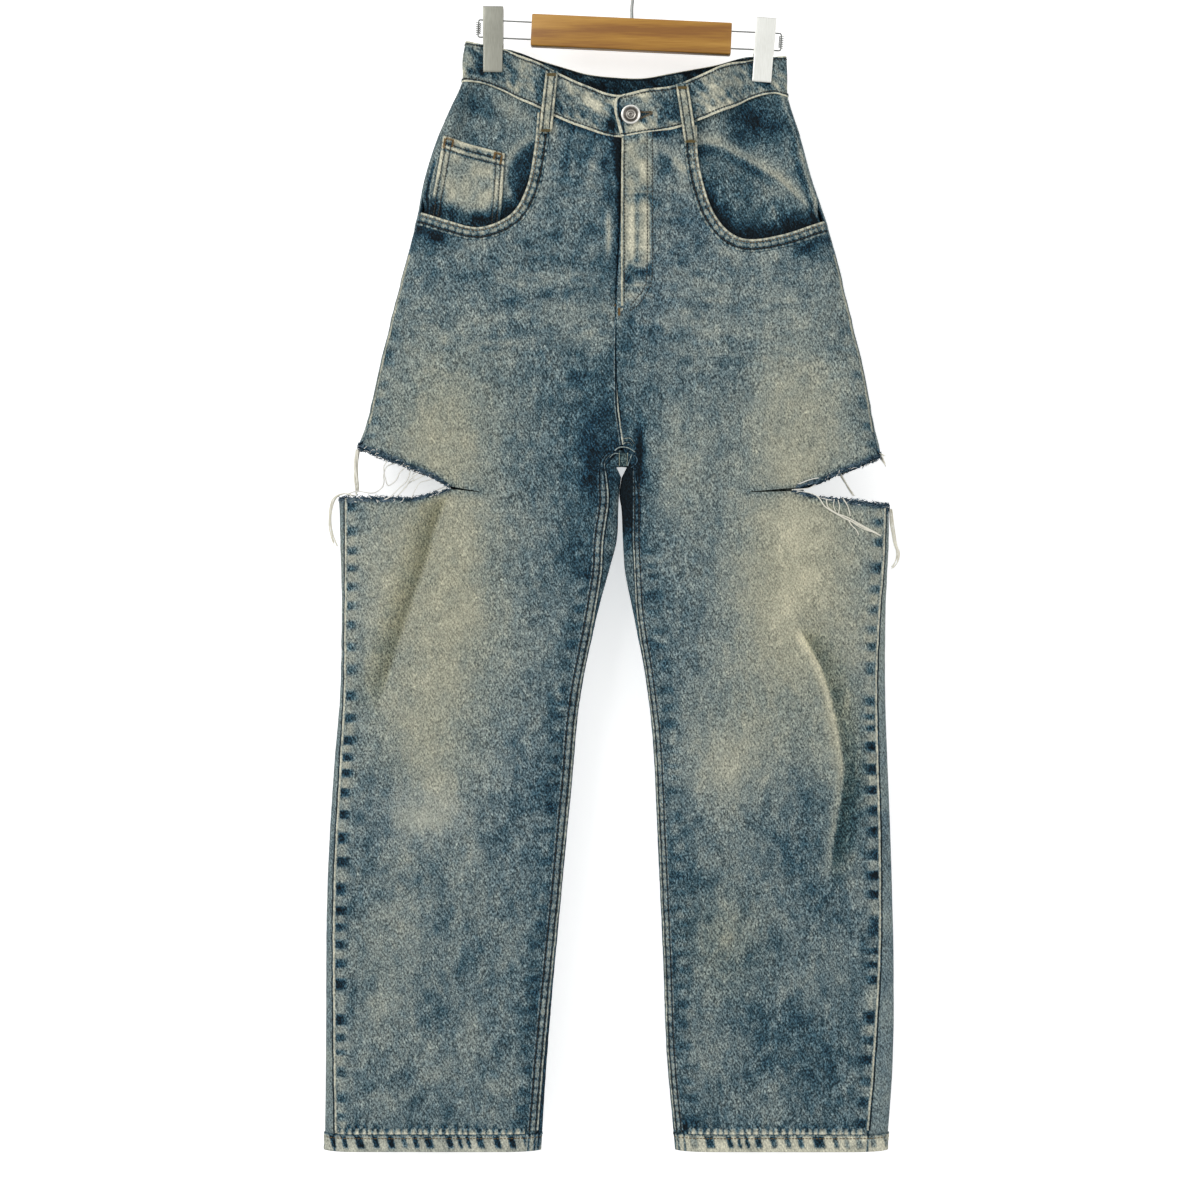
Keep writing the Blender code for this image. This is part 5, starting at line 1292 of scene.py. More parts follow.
BELT_LOOPS = [belt_loop(loop) for loop in LOOPS]
BACK_PATCHES = {side: back_pocket(side) for side in (RIGHT, LEFT)}


# ---------------------------------------------------------------- the bands and the worn seam edges
# Where the denim is folded and stitched down it stands up, so its edges rub pale, and the valleys
# beside them are dark, partly unworn indigo and partly painted shade of the grooves: the pocket mouths,
# the felled inseams, the side seams and the fly's free edge.
def lay(side, x, z, out, behind=False):
    """The same with the fly's lift, on one side of the garment or on both."""
    if side is None:
        return np.where((x > CENTRE)[..., None], lay(LEFT, x, z, out, behind),
                        lay(RIGHT, x, z, out, behind))
    if not behind:
        out = out + fly_lift(side, x, z)
    return over(side, x, z, out, behind)


def pairs(x, z):
    return np.stack((x, z), axis=1)


def even_run(points, step):
    """The same route with points at an even step, and the direction at each."""
    points = np.asarray(points, float)
    length = length_along(points)
    count = max(int(round(length[-1] / step)), 2)
    at = np.linspace(0, length[-1], count + 1)
    run = np.stack([np.interp(at, length, points[:, i]) for i in range(points.shape[1])], axis=1)
    heading = np.gradient(run, axis=0)
    return run, heading / np.maximum(np.linalg.norm(heading, axis=1, keepdims=True), 1e-9)


def laid_strip(name, side, route, profile, turn=1, warm=0.3, rope=0.0, seed=81, narrow=1.0, pitch=12,
               crotch_shade=True):
    """A strip along a route on the cloth. Its profile gives (sideways, out, wear) across it."""
    run, heading = even_run(route, STRIP_STEP)
    along = np.arange(len(run)) * STRIP_STEP
    sideways, out, wear = np.array(profile, float).T
    sideways = turn * sideways * (narrow + (1 - narrow) * ease(along / 34))[:, None]
    x = run[:, None, 0] - heading[:, None, 1] * sideways
    z = run[:, None, 1] + heading[:, None, 0] * sideways
    points = lay(side, x, z, 0.8 + out * np.ones(x.shape))
    wear = wear + 0.07 * soft_noise(x, z, 7, seed) + 0.06 * soft_noise(x, z, 20, seed + 1)
    wear -= rope * roping(along[:, None] + 0 * x, pitch, seed + 2) * (out > 0.2)
    # painted shade where the seams meet at the crotch: the strips darken there
    if crotch_shade:
        low, much = (-548, 0.25) if side == RIGHT else (-590, 0.42)
        wear -= much * ease((z - low) / 45) * ease((40 - np.abs(x - CENTRE)) / 12) * ease((-470 - z) / 12)
    return cloth_piece(name, points, wear, warm)


def seam_route(side, column, high, low):
    z = np.arange(high, low, -4.0)
    return pairs(seam_x(side, column, z), z)


def mouth_route(side, below_band, inside_seam):
    """The edge of the front pocket, from the waistband's seam to the side seam."""
    mouth = curve_through(MOUTHS[side], 8)
    mouth = mouth[mouth[:, 1] < front_seam(mouth[:, 0]) - below_band]
    return mouth[(mouth[:, 0] - seam_x(side, "outseam", mouth[:, 1])) * INWARDS[side] > inside_seam]


STRIP_STEP = 1.7
# Across each band or seam: (sideways, out, wear). The low wear in the valleys and at the sunken
# edges is painted shade of the grooves as well as unworn indigo.
MOUTH_BAND = (
    (-1.0, -1.6, 0.6), (-1.0, -0.3, 0.85), (-0.6, 0.55, 1.02), (0.3, 0.9, 1.05), (1.2, 0.75, 0.85),
    (1.8, 0.4, 0.12), (2.7, 0.35, 0.12), (3.5, 0.7, 0.62), (4.6, 0.85, 0.8), (6.4, 0.75, 0.66),
    (7.3, 0.5, 0.4), (7.9, 0.3, 0.02), (8.9, 0.3, 0.02), (9.5, 0.6, 0.6), (10.6, 0.55, 0.72),
    (11.4, 0.2, 0.3), (12.2, -0.6, 0.05))
INSEAM_BAND = (
    (-1.8, -0.7, 0.0), (-0.5, 0.15, 0.0), (0.0, 0.4, 0.6), (0.6, 0.65, 1.05), (1.3, 0.55, 0.85),
    (1.9, 0.3, 0.05), (2.7, 0.3, 0.1), (3.5, 0.65, 0.68), (5.0, 0.7, 0.76), (6.4, 0.65, 0.70),
    (7.2, 0.35, 0.1), (8.2, 0.35, 0.1), (8.9, 0.6, 0.66), (9.5, 0.5, 0.66), (10.2, -0.3, 0.1))
SIDE_SEAM = (
    (-0.9, -0.4, 0.0), (-0.1, 0.0, 0.02), (0.4, 0.2, 0.6), (1.1, 0.45, 0.92), (2.0, 0.3, 0.8),
    (2.8, -0.15, 0.5))
LOW_SIDE_SEAM = (
    (-2.0, -0.5, 0.0), (-0.3, 0.15, 0.0), (0.3, 0.4, 0.85), (1.1, 0.6, 1.05), (1.8, 0.45, 0.85),
    (2.7, -0.15, 0.5))
HEM_RIDGE = (
    (-0.7, -0.5, 0.0), (-0.2, 0.3, 0.02), (0.3, 0.6, 0.8), (1.0, 0.9, 1.1), (1.8, 0.7, 0.95),
    (3.2, 0.4, 0.8), (4.8, 0.25, 0.7), (6.6, -0.15, 0.4))
RISE_SEAM = (
    (-2.6, -0.3, 0.2), (-1.9, 0.3, 0.45), (-1.3, 0.5, 0.66), (-0.7, 0.2, 0.05), (0.3, 0.2, 0.02),
    (0.9, 0.5, 0.8), (1.6, 0.6, 0.95), (2.3, 0.3, 0.4), (3.2, -0.15, 0.3))
SEAT_SEAM = (
    (-5.4, -0.6, 0.0), (-4.7, 0.5, 0.1), (-4.1, 0.8, 0.95), (-3.4, 0.6, 0.2), (-2.2, 0.5, 0.42),
    (0.0, 0.5, 0.34), (2.2, 0.5, 0.42), (3.3, 0.6, 0.2), (4.0, 0.8, 0.85), (4.7, 0.4, 0.1),
    (5.3, -0.6, 0.0))
FLY_BAND = (
    (-0.4, -2.0, 0.5), (-0.4, -0.2, 0.85), (0.1, 0.4, 1.0), (0.9, 0.55, 0.96), (1.9, 0.3, 0.55),
    (2.6, -0.15, 0.5))
# The left inseam is felled a little narrower than the right one.
INSEAM_WIDTH = {RIGHT: 1.0, LEFT: 0.74}


def bands():
    """Every band, under the side it is sewn to."""
    made = {RIGHT: [], LEFT: []}
    for side in (RIGHT, LEFT):
        to_panel, right = INWARDS[side], side == RIGHT
        start = ((-18.5, -489.5), (-22.4, -493.5), (-24.2, -500)) if right else ((3.6, -502), (3.3, -505))
        inseam = np.concatenate((start, seam_route(side, "inseam", -509.0, HEM_TOP)))
        over_rip = seam_route(side, "outseam", -300.0, -462.0 if right else -470.0)
        under_rip = seam_route(side, "outseam", -531.0 if right else -540.0, HEM_TOP)
        # the cloth stands up along the top of the hem and has worn white there
        hem_ends = sorted((seam_x(side, "outseam", HEM_TOP) + 3 * to_panel,
                           seam_x(side, "inseam", HEM_TOP) - 12 * to_panel))
        made[side] += [
            laid_strip(f"band_mouth_{side}", side, mouth_route(side, 0.5, 0.5), MOUTH_BAND, to_panel,
                       rope=0.28, seed=82, pitch=7),
            laid_strip(f"band_inseam_{side}", side, curve_through(inseam, 3), INSEAM_BAND,
                       -to_panel * INSEAM_WIDTH[side], -0.3, rope=0.2, seed=85, narrow=0.45, pitch=8),
            laid_strip(f"seam_side_{side}", side, over_rip, SIDE_SEAM, to_panel, seed=88),
            laid_strip(f"seam_side_low_{side}", side, under_rip, LOW_SIDE_SEAM, to_panel, 0.1, rope=0.1,
                       seed=89),
            laid_strip(f"ridge_over_hem_{side}", side, [(x, HEM_TOP) for x in hem_ends], HEM_RIDGE,
                       warm=0.1, rope=0.5, seed=97, pitch=6.5)]
    rise = ((-8.4, -352), (-13.1, -372), (-13.3, -437), (-11, -460), (-8.2, -480))
    made[LEFT] += [laid_strip("seam_rise", None, curve_through(rise, 8), RISE_SEAM, warm=0.0, seed=91,
                              crotch_shade=False)]
    # where five seams meet at the crotch: worn ridges round the tuck, and the seat seam below it
    for name, wear, warm, route in (
            ("over", 0.85, -0.9, ((-14.6, -485.6), (-11.4, -482.9), (-6.8, -482), (-1, -483.3),
                                  (4.7, -487))),
            ("right", 0.75, -0.9, ((-19.4, -492), (-17, -489.4), (-14.6, -488.2), (-11, -488.2))),
            ("left", 0.7, -0.9, ((1.6, -489.2), (0.2, -493.5), (-1.8, -500))),
            ("low", 0.5, -0.9, ((4.4, -490.2), (6.4, -492.6), (7.0, -495.4), (5.2, -499.2), (1.5, -502))),
            ("tuck", 0.62, 0.4, ((-6.2, -474.6), (0, -474), (4.4, -479.5))),
            ("tuck_low", 0.55, 0.4, ((-5.8, -478.6), (-1, -478), (2, -481)))):
        ridge = ((-1.5, -0.6, 0.0), (-0.7, 0.5, 0.0), (-0.3, 0.9, wear), (0.3, 0.9, wear), (0.7, 0.5, 0.0),
                 (1.5, -0.6, 0.0))
        made[RIGHT] += [laid_strip(f"crotch_{name}", None, curve_through(route, 6), ridge, warm=warm,
                                   seed=93, crotch_shade=False)]
    made[RIGHT] += [laid_strip("crotch_seat_seam", None, ((-6.2, -487.5), (-6.6, -500)), SEAT_SEAM,
                               warm=0.9, seed=94, crotch_shade=False)]
    edge = ((-8.0, front_seam(np.array(-8.0)) - 1), (-8.3, -250), (-8.5, -300), (-8.4, -350))
    made[LEFT] += [laid_strip("fly_edge", LEFT, curve_through(edge, 8), FLY_BAND, warm=0.5, seed=92)]
    return made


BANDS = bands()


# ---------------------------------------------------------------- the fly, the zip and its slider
# Hidden under the left front: a plain denim shield, and a brass zip on navy cotton tape, closed to
# the top. The slider and its tab stay in their places on the tape.
def hidden_sheet(name, low_x, high_x, top, bottom, out, wall, material, node):
    share, up = share_grid(14, 50)
    x, z = low_x + (high_x - low_x) * share, bottom + (top - bottom) * up
    points = np.where((x > CENTRE)[..., None], over(LEFT, x, z, out, rough=False),
                      over(RIGHT, x, z, out, rough=False))
    mesh = grid_mesh(name, points)
    set_values(mesh, wear=0.42 + 0 * x, warm=0.1 + 0 * x)
    return settle(made_piece(name, mesh, material, wall), [node])


def plain_material(name, code, roughness, metallic=0.0, *, bump, bump_scale=900.0):
    """One colour with a fine grain."""
    material, tree, shader = new_material(name, roughness, metallic)
    place = add_node(tree, "TexCoord").outputs["Object"]
    noise = add_node(tree, "TexNoise", {"Vector": place, "Scale": bump_scale, "Detail": 3.0})
    dark = tuple(c * 0.78 for c in linear(code)[:3]) + (1.0,)
    tone = add_node(tree, "Mix", {0: noise.outputs["Fac"], 6: dark, 7: linear(code)}, data_type='RGBA')
    tree.links.new(tone.outputs[2], shader.inputs["Base Color"])
    height = add_node(tree, "Bump", {"Height": noise.outputs["Fac"], "Strength": bump,
                                     "Distance": 0.0003})
    tree.links.new(height.outputs[0], shader.inputs["Normal"])
    return material


def soft_box(size, rounding, segments):
    """A box with rounded edges."""
    shape = bmesh.new()
    bmesh.ops.create_cube(shape, size=1)
    bmesh.ops.scale(shape, vec=size, verts=shape.verts)
    bmesh.ops.bevel(shape, geom=shape.edges[:], offset=rounding, segments=segments, profile=0.5,
                    affect='EDGES', material=-1)
    return shape


# Navy cotton tape with a fine rib, and old brass, dulled.
TAPE_COTTON = plain_material("navy_cotton_tape", "#1c2a3c", 0.9, bump=0.4, bump_scale=700.0)
DULL_BRASS = plain_material("dull_brass", "#b39552", 0.38, 1.0, bump=0.1)


def zip_teeth():
    """Two rows of brass teeth that mesh along the middle of the tape."""
    unit = mesh_of("tooth", soft_box((0.0034, 0.0012, 0.0010), 0.0002, 1))
    teeth = bmesh.new()
    for step in range(96):
        z = -206.0 - 1.4 * step
        x = CENTRE + 15 + (0.8 if step % 2 else -0.8)
        y = over(LEFT, x, z, 0.9, rough=False)[1]
        start = len(teeth.verts)
        teeth.from_mesh(unit)
        teeth.verts.ensure_lookup_table()
        bmesh.ops.translate(teeth, verts=teeth.verts[start:], vec=(x * MM, y * MM, z * MM))
    mesh = mesh_of("zip_teeth", teeth)
    bpy.data.meshes.remove(unit)
    return settle(made_piece("zip_teeth", mesh, DULL_BRASS))


FLY_TOP = front_seam(np.array(0.4))
SHIELD = hidden_sheet("denim_fly_shield", CENTRE - 9, CENTRE + 33, FLY_TOP - 2, FLY_FOOT + 6, -1.9, DENIM,
                      DENIM_CLOTH, "fly_shield")
ZIP_TAPE = hidden_sheet("zip_tape_cotton", CENTRE + 3, CENTRE + 27, FLY_TOP - 20, FLY_FOOT + 14, -0.1, 1.0,
                        TAPE_COTTON, "zip_tape")
zip_teeth()
for kept in ("zip_slider", "zip_pull_tab"):
    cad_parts[kept].data.materials.clear()
    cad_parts[kept].data.materials.append(DULL_BRASS)


# ---------------------------------------------------------------- the stitching
# Polyester-cotton topstitch, about three stitches to a centimetre. It has dulled to dark olive on
# most seams and stays golden along the pocket mouths. Bar tacks are dense orange satin stitches.
STITCH_PITCH, SATIN_STEP = 3.2, 0.75
# Each double row lies this far in from the edge or seam beside it.
MOUTH_ROWS, INSEAM_ROWS, YOKE_ROWS = (2.1, 8.3), (2.3, 7.7), (2.0, 8.0)
WATCH_SIDE_ROWS, WATCH_TOP_ROWS = (3.4, 8.2), (6.6, 12.2)
HEM_ROW, BACK_POCKET_ROW = -1135.4, -278.0


def sew(name, rows, material, long=2.7, wide=1.1):
    """One stitch at every place of the rows (middle, heading, outward), joined in one mesh."""
    middle, heading, outward = (np.concatenate([row[i] for row in rows]) for i in range(3))
    turns = []
    for along, out in zip(heading, outward):
        along, out = Vector(along).normalized(), Vector(out).normalized()
        side = out.cross(along).normalized()
        turns.append(Matrix((along, side, along.cross(side))).transposed().to_euler()[:])
    mesh = bpy.data.meshes.new(name)
    mesh.vertices.add(len(middle))
    mesh.vertices.foreach_set("co", (middle * MM).ravel())
    layer = mesh.attributes.new("turn", 'FLOAT_VECTOR', 'POINT')
    layer.data.foreach_set("vector", np.array(turns, np.float32).ravel())
    one = bmesh.new()
    bmesh.ops.create_uvsphere(one, u_segments=5, v_segments=4, radius=0.5,
                              matrix=Matrix.Rotation(radians(90), 4, 'Y'))
    bmesh.ops.scale(one, vec=(long * MM, wide * MM, 0.55 * wide * MM), verts=one.verts)
    unit = placed("stitch", mesh_of("stitch", one))
    unit.data.shade_smooth()
    row = placed(name, mesh)
    group = bpy.data.node_groups.new(name, 'GeometryNodeTree')
    for way in ('INPUT', 'OUTPUT'):
        group.interface.new_socket("Geometry", in_out=way, socket_type='NodeSocketGeometry')
    kinds = ('NodeGroupInput', 'GeometryNodeInputNamedAttribute', 'FunctionNodeEulerToRotation',
             'GeometryNodeObjectInfo', 'GeometryNodeInstanceOnPoints', 'GeometryNodeRealizeInstances',
             'NodeGroupOutput')
    start, turn, rotation, shape, copies, real, end = (group.nodes.new(kind) for kind in kinds)
    turn.data_type = 'FLOAT_VECTOR'
    turn.inputs["Name"].default_value = "turn"
    shape.inputs["Object"].default_value = unit
    for source, target in ((start.outputs[0], copies.inputs["Points"]),
                           (turn.outputs[0], rotation.inputs[0]),
                           (rotation.outputs[0], copies.inputs["Rotation"]),
                           (shape.outputs["Geometry"], copies.inputs["Instance"]),
                           (copies.outputs[0], real.inputs[0]), (real.outputs[0], end.inputs[0])):
        group.links.new(source, target)
    row.modifiers.new("stitches", 'NODES').node_group = group
    done = worked_out(row)
    row.modifiers.clear()
    row.data = done
    done.materials.clear()
    done.materials.append(material)
    done.shade_smooth()
    bpy.data.objects.remove(unit, do_unlink=True)
    return settle(row)


def framed(points, lifted):
    """Middles, headings and outward directions of a row of places."""
    return points, np.gradient(points, axis=0), lifted - points


def row_on(side, route, out, behind=False):
    run, _ = even_run(route, STITCH_PITCH)
    x, z = run[:, 0], run[:, 1]
    return framed(lay(side, x, z, out, behind), lay(side, x, z, out + 1, behind))


def beside(route, sideways):
    """The same route moved to its left."""
    run, heading = even_run(route, 2.0)
    return pairs(run[:, 0] - heading[:, 1] * sideways, run[:, 1] + heading[:, 0] * sideways)


def tack(side, x, z, turn, long, out, behind=False):
    """A bar tack: satin stitches side by side along its length."""
    count = max(int(long / SATIN_STEP), 3)
    at = (np.arange(count) - (count - 1) / 2) * SATIN_STEP
    c, s = cos(radians(turn)), sin(radians(turn))
    xs, zs = x + at * c, z + at * s
    middle = lay(side, xs, zs, out, behind)
    heading = np.stack((0.12 * c * (-1) ** np.arange(count) - s, 0 * at, c + 0 * at), axis=1)
    return middle, heading, lay(side, xs, zs, out + 1, behind) - middle


def band_row(share, out):
    rows = []
    for run in BAND_RUNS[1:]:
        dense = np.linspace(run.start, run.end, 500)
        z = band_height(run.side, dense, share)
        x = cloth_place(run.side, dense, z)[:, 0]
        lift = lap_lift(run, dense, x)
        low, high = (cloth(run.side, dense, z, lift + out + more, rough=False) for more in (0, 1))
        both, _ = even_run(np.concatenate((low, high), axis=1), 4.5)
        keep = both[:, 0] > -12.5 if run.side == LEFT else (both[:, 0] < -14) | (both[:, 1] > 0)
        rows.append(framed(both[keep, :3], both[keep, 3:]))
    return rows


def thread(name, code):
    return plain_material(name, code, 0.75, bump=0.5, bump_scale=1500.0)


# Topstitch thread that has greyed to dark olive, and thread that has stayed golden; then the bronze
# thread of the loops' tacks and the orange thread of the others.
OLIVE_THREAD = thread("olive_topstitch_thread", "#33322a")
GOLD_THREAD = thread("golden_topstitch_thread", "#665029")
BRONZE_THREAD = thread("bronze_tack_thread", "#6a5a30")
ORANGE_THREAD = thread("orange_tack_thread", "#7f6130")


def pocket_outline(side, shrink):
    """A back pocket's five corners, from its mouth down to the point, as (x, z)."""
    middle, half = BACK_POCKETS[side], 74.0 - shrink
    return ((middle - half, -262), (middle - half + 9, -412 + shrink), (middle, -432 + shrink),
            (middle + half - 9, -412 + shrink), (middle + half, -262))


def watch_pocket_rows(olive, orange):
    """The small pocket: double rows down its sides and below its mouth, and tacks at its top corners."""
    def on_pocket(points):
        run, _ = even_run(points, 2.9)
        x, z = run[:, 0], run[:, 1]
        out = facing_sink(RIGHT, x, z) + 3.1
        return framed(over(RIGHT, x, z, out), over(RIGHT, x, z, out + 1))

    top_right, top_left, bottom_left, bottom_right = np.array(WATCH_CORNERS, float)
    across = (top_left - top_right) / np.linalg.norm(top_left - top_right)
    down = (bottom_right - top_right) / np.linalg.norm(bottom_right - top_right)
    for offset in WATCH_SIDE_ROWS:
        olive.append(on_pocket((top_right + across * offset, bottom_right + across * offset)))
        olive.append(on_pocket((top_left - across * offset, bottom_left - across * offset)))
    for offset in WATCH_TOP_ROWS:
        olive.append(on_pocket((top_right + down * offset, top_left + down * offset)))
    for corner, inward in ((top_right, 1), (top_left, -1)):
        for way, length, shift in ((across, 7.5, 0), (down, 9, 0), (down, 6.5, 7)):
            at = np.arange(int(length / SATIN_STEP)) * SATIN_STEP + 0.8
            start = corner + (across * inward + down) * 2.2 + across * inward * shift
            x, z = (start[i] + way[i] * at * (inward if way is across else 1) for i in (0, 1))
            out = facing_sink(RIGHT, x, z) + 3.2
            middle = over(RIGHT, x, z, out)
            turned = np.broadcast_to((-way[1], 0, way[0]), middle.shape)
            orange.append((middle, turned, over(RIGHT, x, z, out + 1) - middle))


def buttonhole_row():
    """Threads that stand round the eye of the buttonhole and along its slit."""
    around = np.radians(np.arange(25, 336, 9.0))
    x, z = BUTTON.x + 4.3 * np.cos(around), BUTTON.z + 4.3 * np.sin(around)
    slit = np.arange(5.0, 20.5, 0.85)
    x = np.concatenate((x, BUTTON.x + slit, BUTTON.x + slit))
    z = np.concatenate((z, BUTTON.z + 2.3 + slit * 0.02, BUTTON.z - 7.5 + slit * 0.44))
    pointing = np.concatenate((np.stack((np.cos(around), 0 * around, np.sin(around)), axis=1),
                               np.broadcast_to((0, 0, 1.0), (2 * len(slit), 3))))
    low, high = (over(LEFT, x, z, 2.75 + extra, rough=False) for extra in (0, 1))
    return low, pointing, high - low


def stitching():
    olive, gold, orange, bronze = band_row(0.075, 1.3) + band_row(0.93, 1.3), [], [], []
    for side in (RIGHT, LEFT):
        to_panel = INWARDS[side]
        mouth = mouth_route(side, 2, 1.5)
        for rows, offset in zip((gold, olive), MOUTH_ROWS):
            rows.append(row_on(side, beside(mouth, offset * to_panel), 1.4))
        inseam = seam_route(side, "inseam", CROTCH_FRONT - 36, HEM_TOP)
        for offset in INSEAM_ROWS:
            olive.append(row_on(side, beside(inseam, -offset * INSEAM_WIDTH[side] * to_panel), 1.2))
        low = np.linspace(0.06, 0.97, 90)
        for behind in (False, True):
            z = np.full(90, HEM_ROW)
            x = cloth_place(side, 2 - low if behind else low, z)[:, 0]
            gold.append(row_on(side, pairs(x, z), 1.9, behind))
        # the yoke seam, the seat seam and the back pocket, all behind
        x = np.arange(CENTRE - 4, -150, -3.0) if side == RIGHT else np.arange(CENTRE + 4, 142, 3.0)
        for down in YOKE_ROWS:
            gold.append(row_on(side, pairs(x, yoke_seam(x) + down), 1.4, True))
        z = np.arange(-246, -455, -3.0)
        gold.append(row_on(side, pairs(at_height(side, "inner", z) - 3.0 * to_panel, z), 1.0, True))
        top = BACK_POCKETS[side] + np.linspace(-70, 70, 50)
        corners = pocket_outline(side, 3.0)
        for route in (corners, pocket_outline(side, 9.0), pairs(top, np.full(50, BACK_POCKET_ROW))):
            gold.append(row_on(side, route, 2.8, True))
        for x, z in (corners[0], corners[-1]):
            orange.append(tack(side, x, z - 3, 90, 9, 2.9, True))
    # the J of the fly, in two rows, and a short row along its free edge
    for offset in (0.0, 5.0):
        fly = ((20.9 - offset, front_seam(np.array(20.0)) - 1), (20.9 - offset, -250),
               (20.6 - offset, -318), (16.5 - offset * 0.8, -336 + offset * 0.4),
               (8.5 - offset * 0.5, -348 + offset), (0.9, -354 + offset))
        olive.append(row_on(LEFT, curve_through(fly, 8), 1.0))
    olive.append(row_on(LEFT, ((-5.4, -196), (-5.6, -345)), 1.1))
    watch_pocket_rows(olive, orange)
    # the loops: a row near each edge and a tack at each end
    for loop in LOOPS:
        up = np.linspace(0.05, 0.95, 18)
        for across_share in (0.22, 0.78):
            low, high = (loop_place(loop, across_share + 0 * up, up, extra) for extra in (1.1, 2.1))
            olive.append(framed(low, high))
        for end in (0.035, 0.93):
            share = np.linspace(0.05, 0.95, 14)
            for step in (0.0, 0.02):
                up = end + step + 0 * share
                low, high = (loop_place(loop, share, up, extra) for extra in (1.2, 2.2))
                bronze.append((low, np.broadcast_to((0.15, 0, 1.0), low.shape), high - low))
    # tacks at the foot of the fly
    orange.append(tack(LEFT, -10.5, -355.5, 90, 8, 1.2))
    orange.append(tack(RIGHT, -11.5, -349.5, 0, 7, 1.2))
    sew("stitches_olive", olive, OLIVE_THREAD)
    sew("stitches_gold", gold, GOLD_THREAD)
    sew("tacks_orange", orange, ORANGE_THREAD, 2.6, 0.75)
    sew("tacks_bronze", bronze, BRONZE_THREAD, 2.2, 0.75)
    sew("buttonhole_threads", [buttonhole_row()], GOLD_THREAD, 2.4, 0.7)


stitching()


# ---------------------------------------------------------------- the button
# A nickel tack button with a raised rim and plain rings, scuffed, on its post.
def turned_piece(name, profile, material, place):
    shape = bmesh.new()
    verts = [shape.verts.new((radius * MM, 0, depth * MM)) for radius, depth in profile]
    edges = [shape.edges.new(pair) for pair in zip(verts, verts[1:])]
    bmesh.ops.spin(shape, geom=verts + edges, cent=(0, 0, 0), axis=(0, 0, 1), angle=2 * pi, steps=48,
                   use_merge=True)
    bmesh.ops.remove_doubles(shape, verts=shape.verts, dist=0.00001)
    bmesh.ops.recalc_face_normals(shape, faces=shape.faces)
    bmesh.ops.rotate(shape, cent=(0, 0, 0), matrix=Matrix.Rotation(radians(90), 3, 'X'), verts=shape.verts)
    bmesh.ops.translate(shape, vec=Vector(place) * MM, verts=shape.verts)
    return made_piece(name, mesh_of(name, shape), material)


def button_nickel():
    """Nickel that has blackened in the grooves between its worn rings."""
    material, tree, shader = new_material("blackened_nickel_rings", 0.3, 0.8)
    place = add_node(tree, "TexCoord").outputs["Object"]
    middle = add_node(tree, "VectorMath", {0: place, 1: BUTTON * MM}, operation='SUBTRACT').outputs[0]
    flat = add_node(tree, "VectorMath", {0: middle, 1: (100, 0, 100)}, operation='MULTIPLY').outputs[0]
    radius = add_node(tree, "VectorMath", {0: flat}, operation='LENGTH').outputs["Value"]
    scuff = add_node(tree, "TexNoise", {"Vector": place, "Scale": 420.0, "Detail": 2.0}).outputs["Fac"]
    uneven = reckon(tree, 'MULTIPLY_ADD', scuff, 0.1, radius)
    tone = add_node(tree, "ValToRGB", {"Fac": uneven}, stops=(
        (0.05, "#8a8680"), (0.15, "#3a3734"), (0.25, "#a5a199"), (0.34, "#45413d"), (0.44, "#b5b1a8"),
        (0.55, "#3a3633"), (0.70, "#5b5751"), (0.80, "#c9c6bf"), (0.90, "#f2f1ec"), (1.0, "#b9b6af")))
    tree.links.new(tone.outputs[0], shader.inputs["Base Color"])
    return material


NICKEL = plain_material("scuffed_nickel", "#8d8f8c", 0.33, 1.0, bump=0.35, bump_scale=450.0)
BUTTON_FACE = over(LEFT, BUTTON.x, BUTTON.z, 1.5 + 1.2, rough=False)[1]
BUTTON_PROFILE = (
    (0, -2.6), (2.6, -2.6), (2.6, 0), (8.9, 0), (9.3, 0.5), (9.3, 1.6), (8.9, 2.4), (8.2, 2.8),
    (7.5, 2.7), (6.9, 2.1), (6.5, 1.7), (5.7, 1.7), (5.3, 2.0), (4.7, 2.2), (4.1, 2.0), (3.7, 1.7),
    (2.9, 1.75), (2.5, 2.1), (1.9, 2.3), (1.2, 2.1), (0.6, 1.9), (0, 1.9))
settle(turned_piece("tack_button", BUTTON_PROFILE, button_nickel(),
                    (BUTTON.x, BUTTON_FACE - 0.3, BUTTON.z)), ["button"])


# ---------------------------------------------------------------- the torn edges and the loose yarns
# The rips have lost their warp yarns: navy fluff stands along the cut, and white and cream weft
# yarns hang across the gaps and out at the side seams.
def tubes(name, runs, material, nodes=(), sides=1):
    """Several yarns or wires, each a run of points in mm with a radius, as one mesh."""
    curve = bpy.data.curves.new(name, 'CURVE')
    curve.dimensions = '3D'
    curve.bevel_depth = MM
    curve.bevel_resolution = sides
    curve.use_fill_caps = True
    for points, radius in runs:
        spline = curve.splines.new('POLY')
        spline.points.add(len(points) - 1)
        for point, place in zip(spline.points, points):
            point.co = (*(Vector(place) * MM), 1)
            point.radius = radius
    maker = placed(name, curve)
    mesh = worked_out(maker)
    bpy.data.objects.remove(maker, do_unlink=True)
    mesh.materials.clear()
    return settle(made_piece(name, mesh, material), nodes)


WHITE_YARN = plain_material("white_weft_yarn", "#f1f0e8", 0.9, bump=0.6, bump_scale=1600.0)
CREAM_YARN = plain_material("cream_yarn", "#f8f5e6", 0.9, bump=0.6, bump_scale=1600.0)
NAVY_YARN = plain_material("navy_warp_fluff", "#1f3a4a", 0.95, bump=0.6, bump_scale=1600.0)
SLATE_YARN = plain_material("faded_warp_fluff", "#5f7686", 0.95, bump=0.6, bump_scale=1600.0)
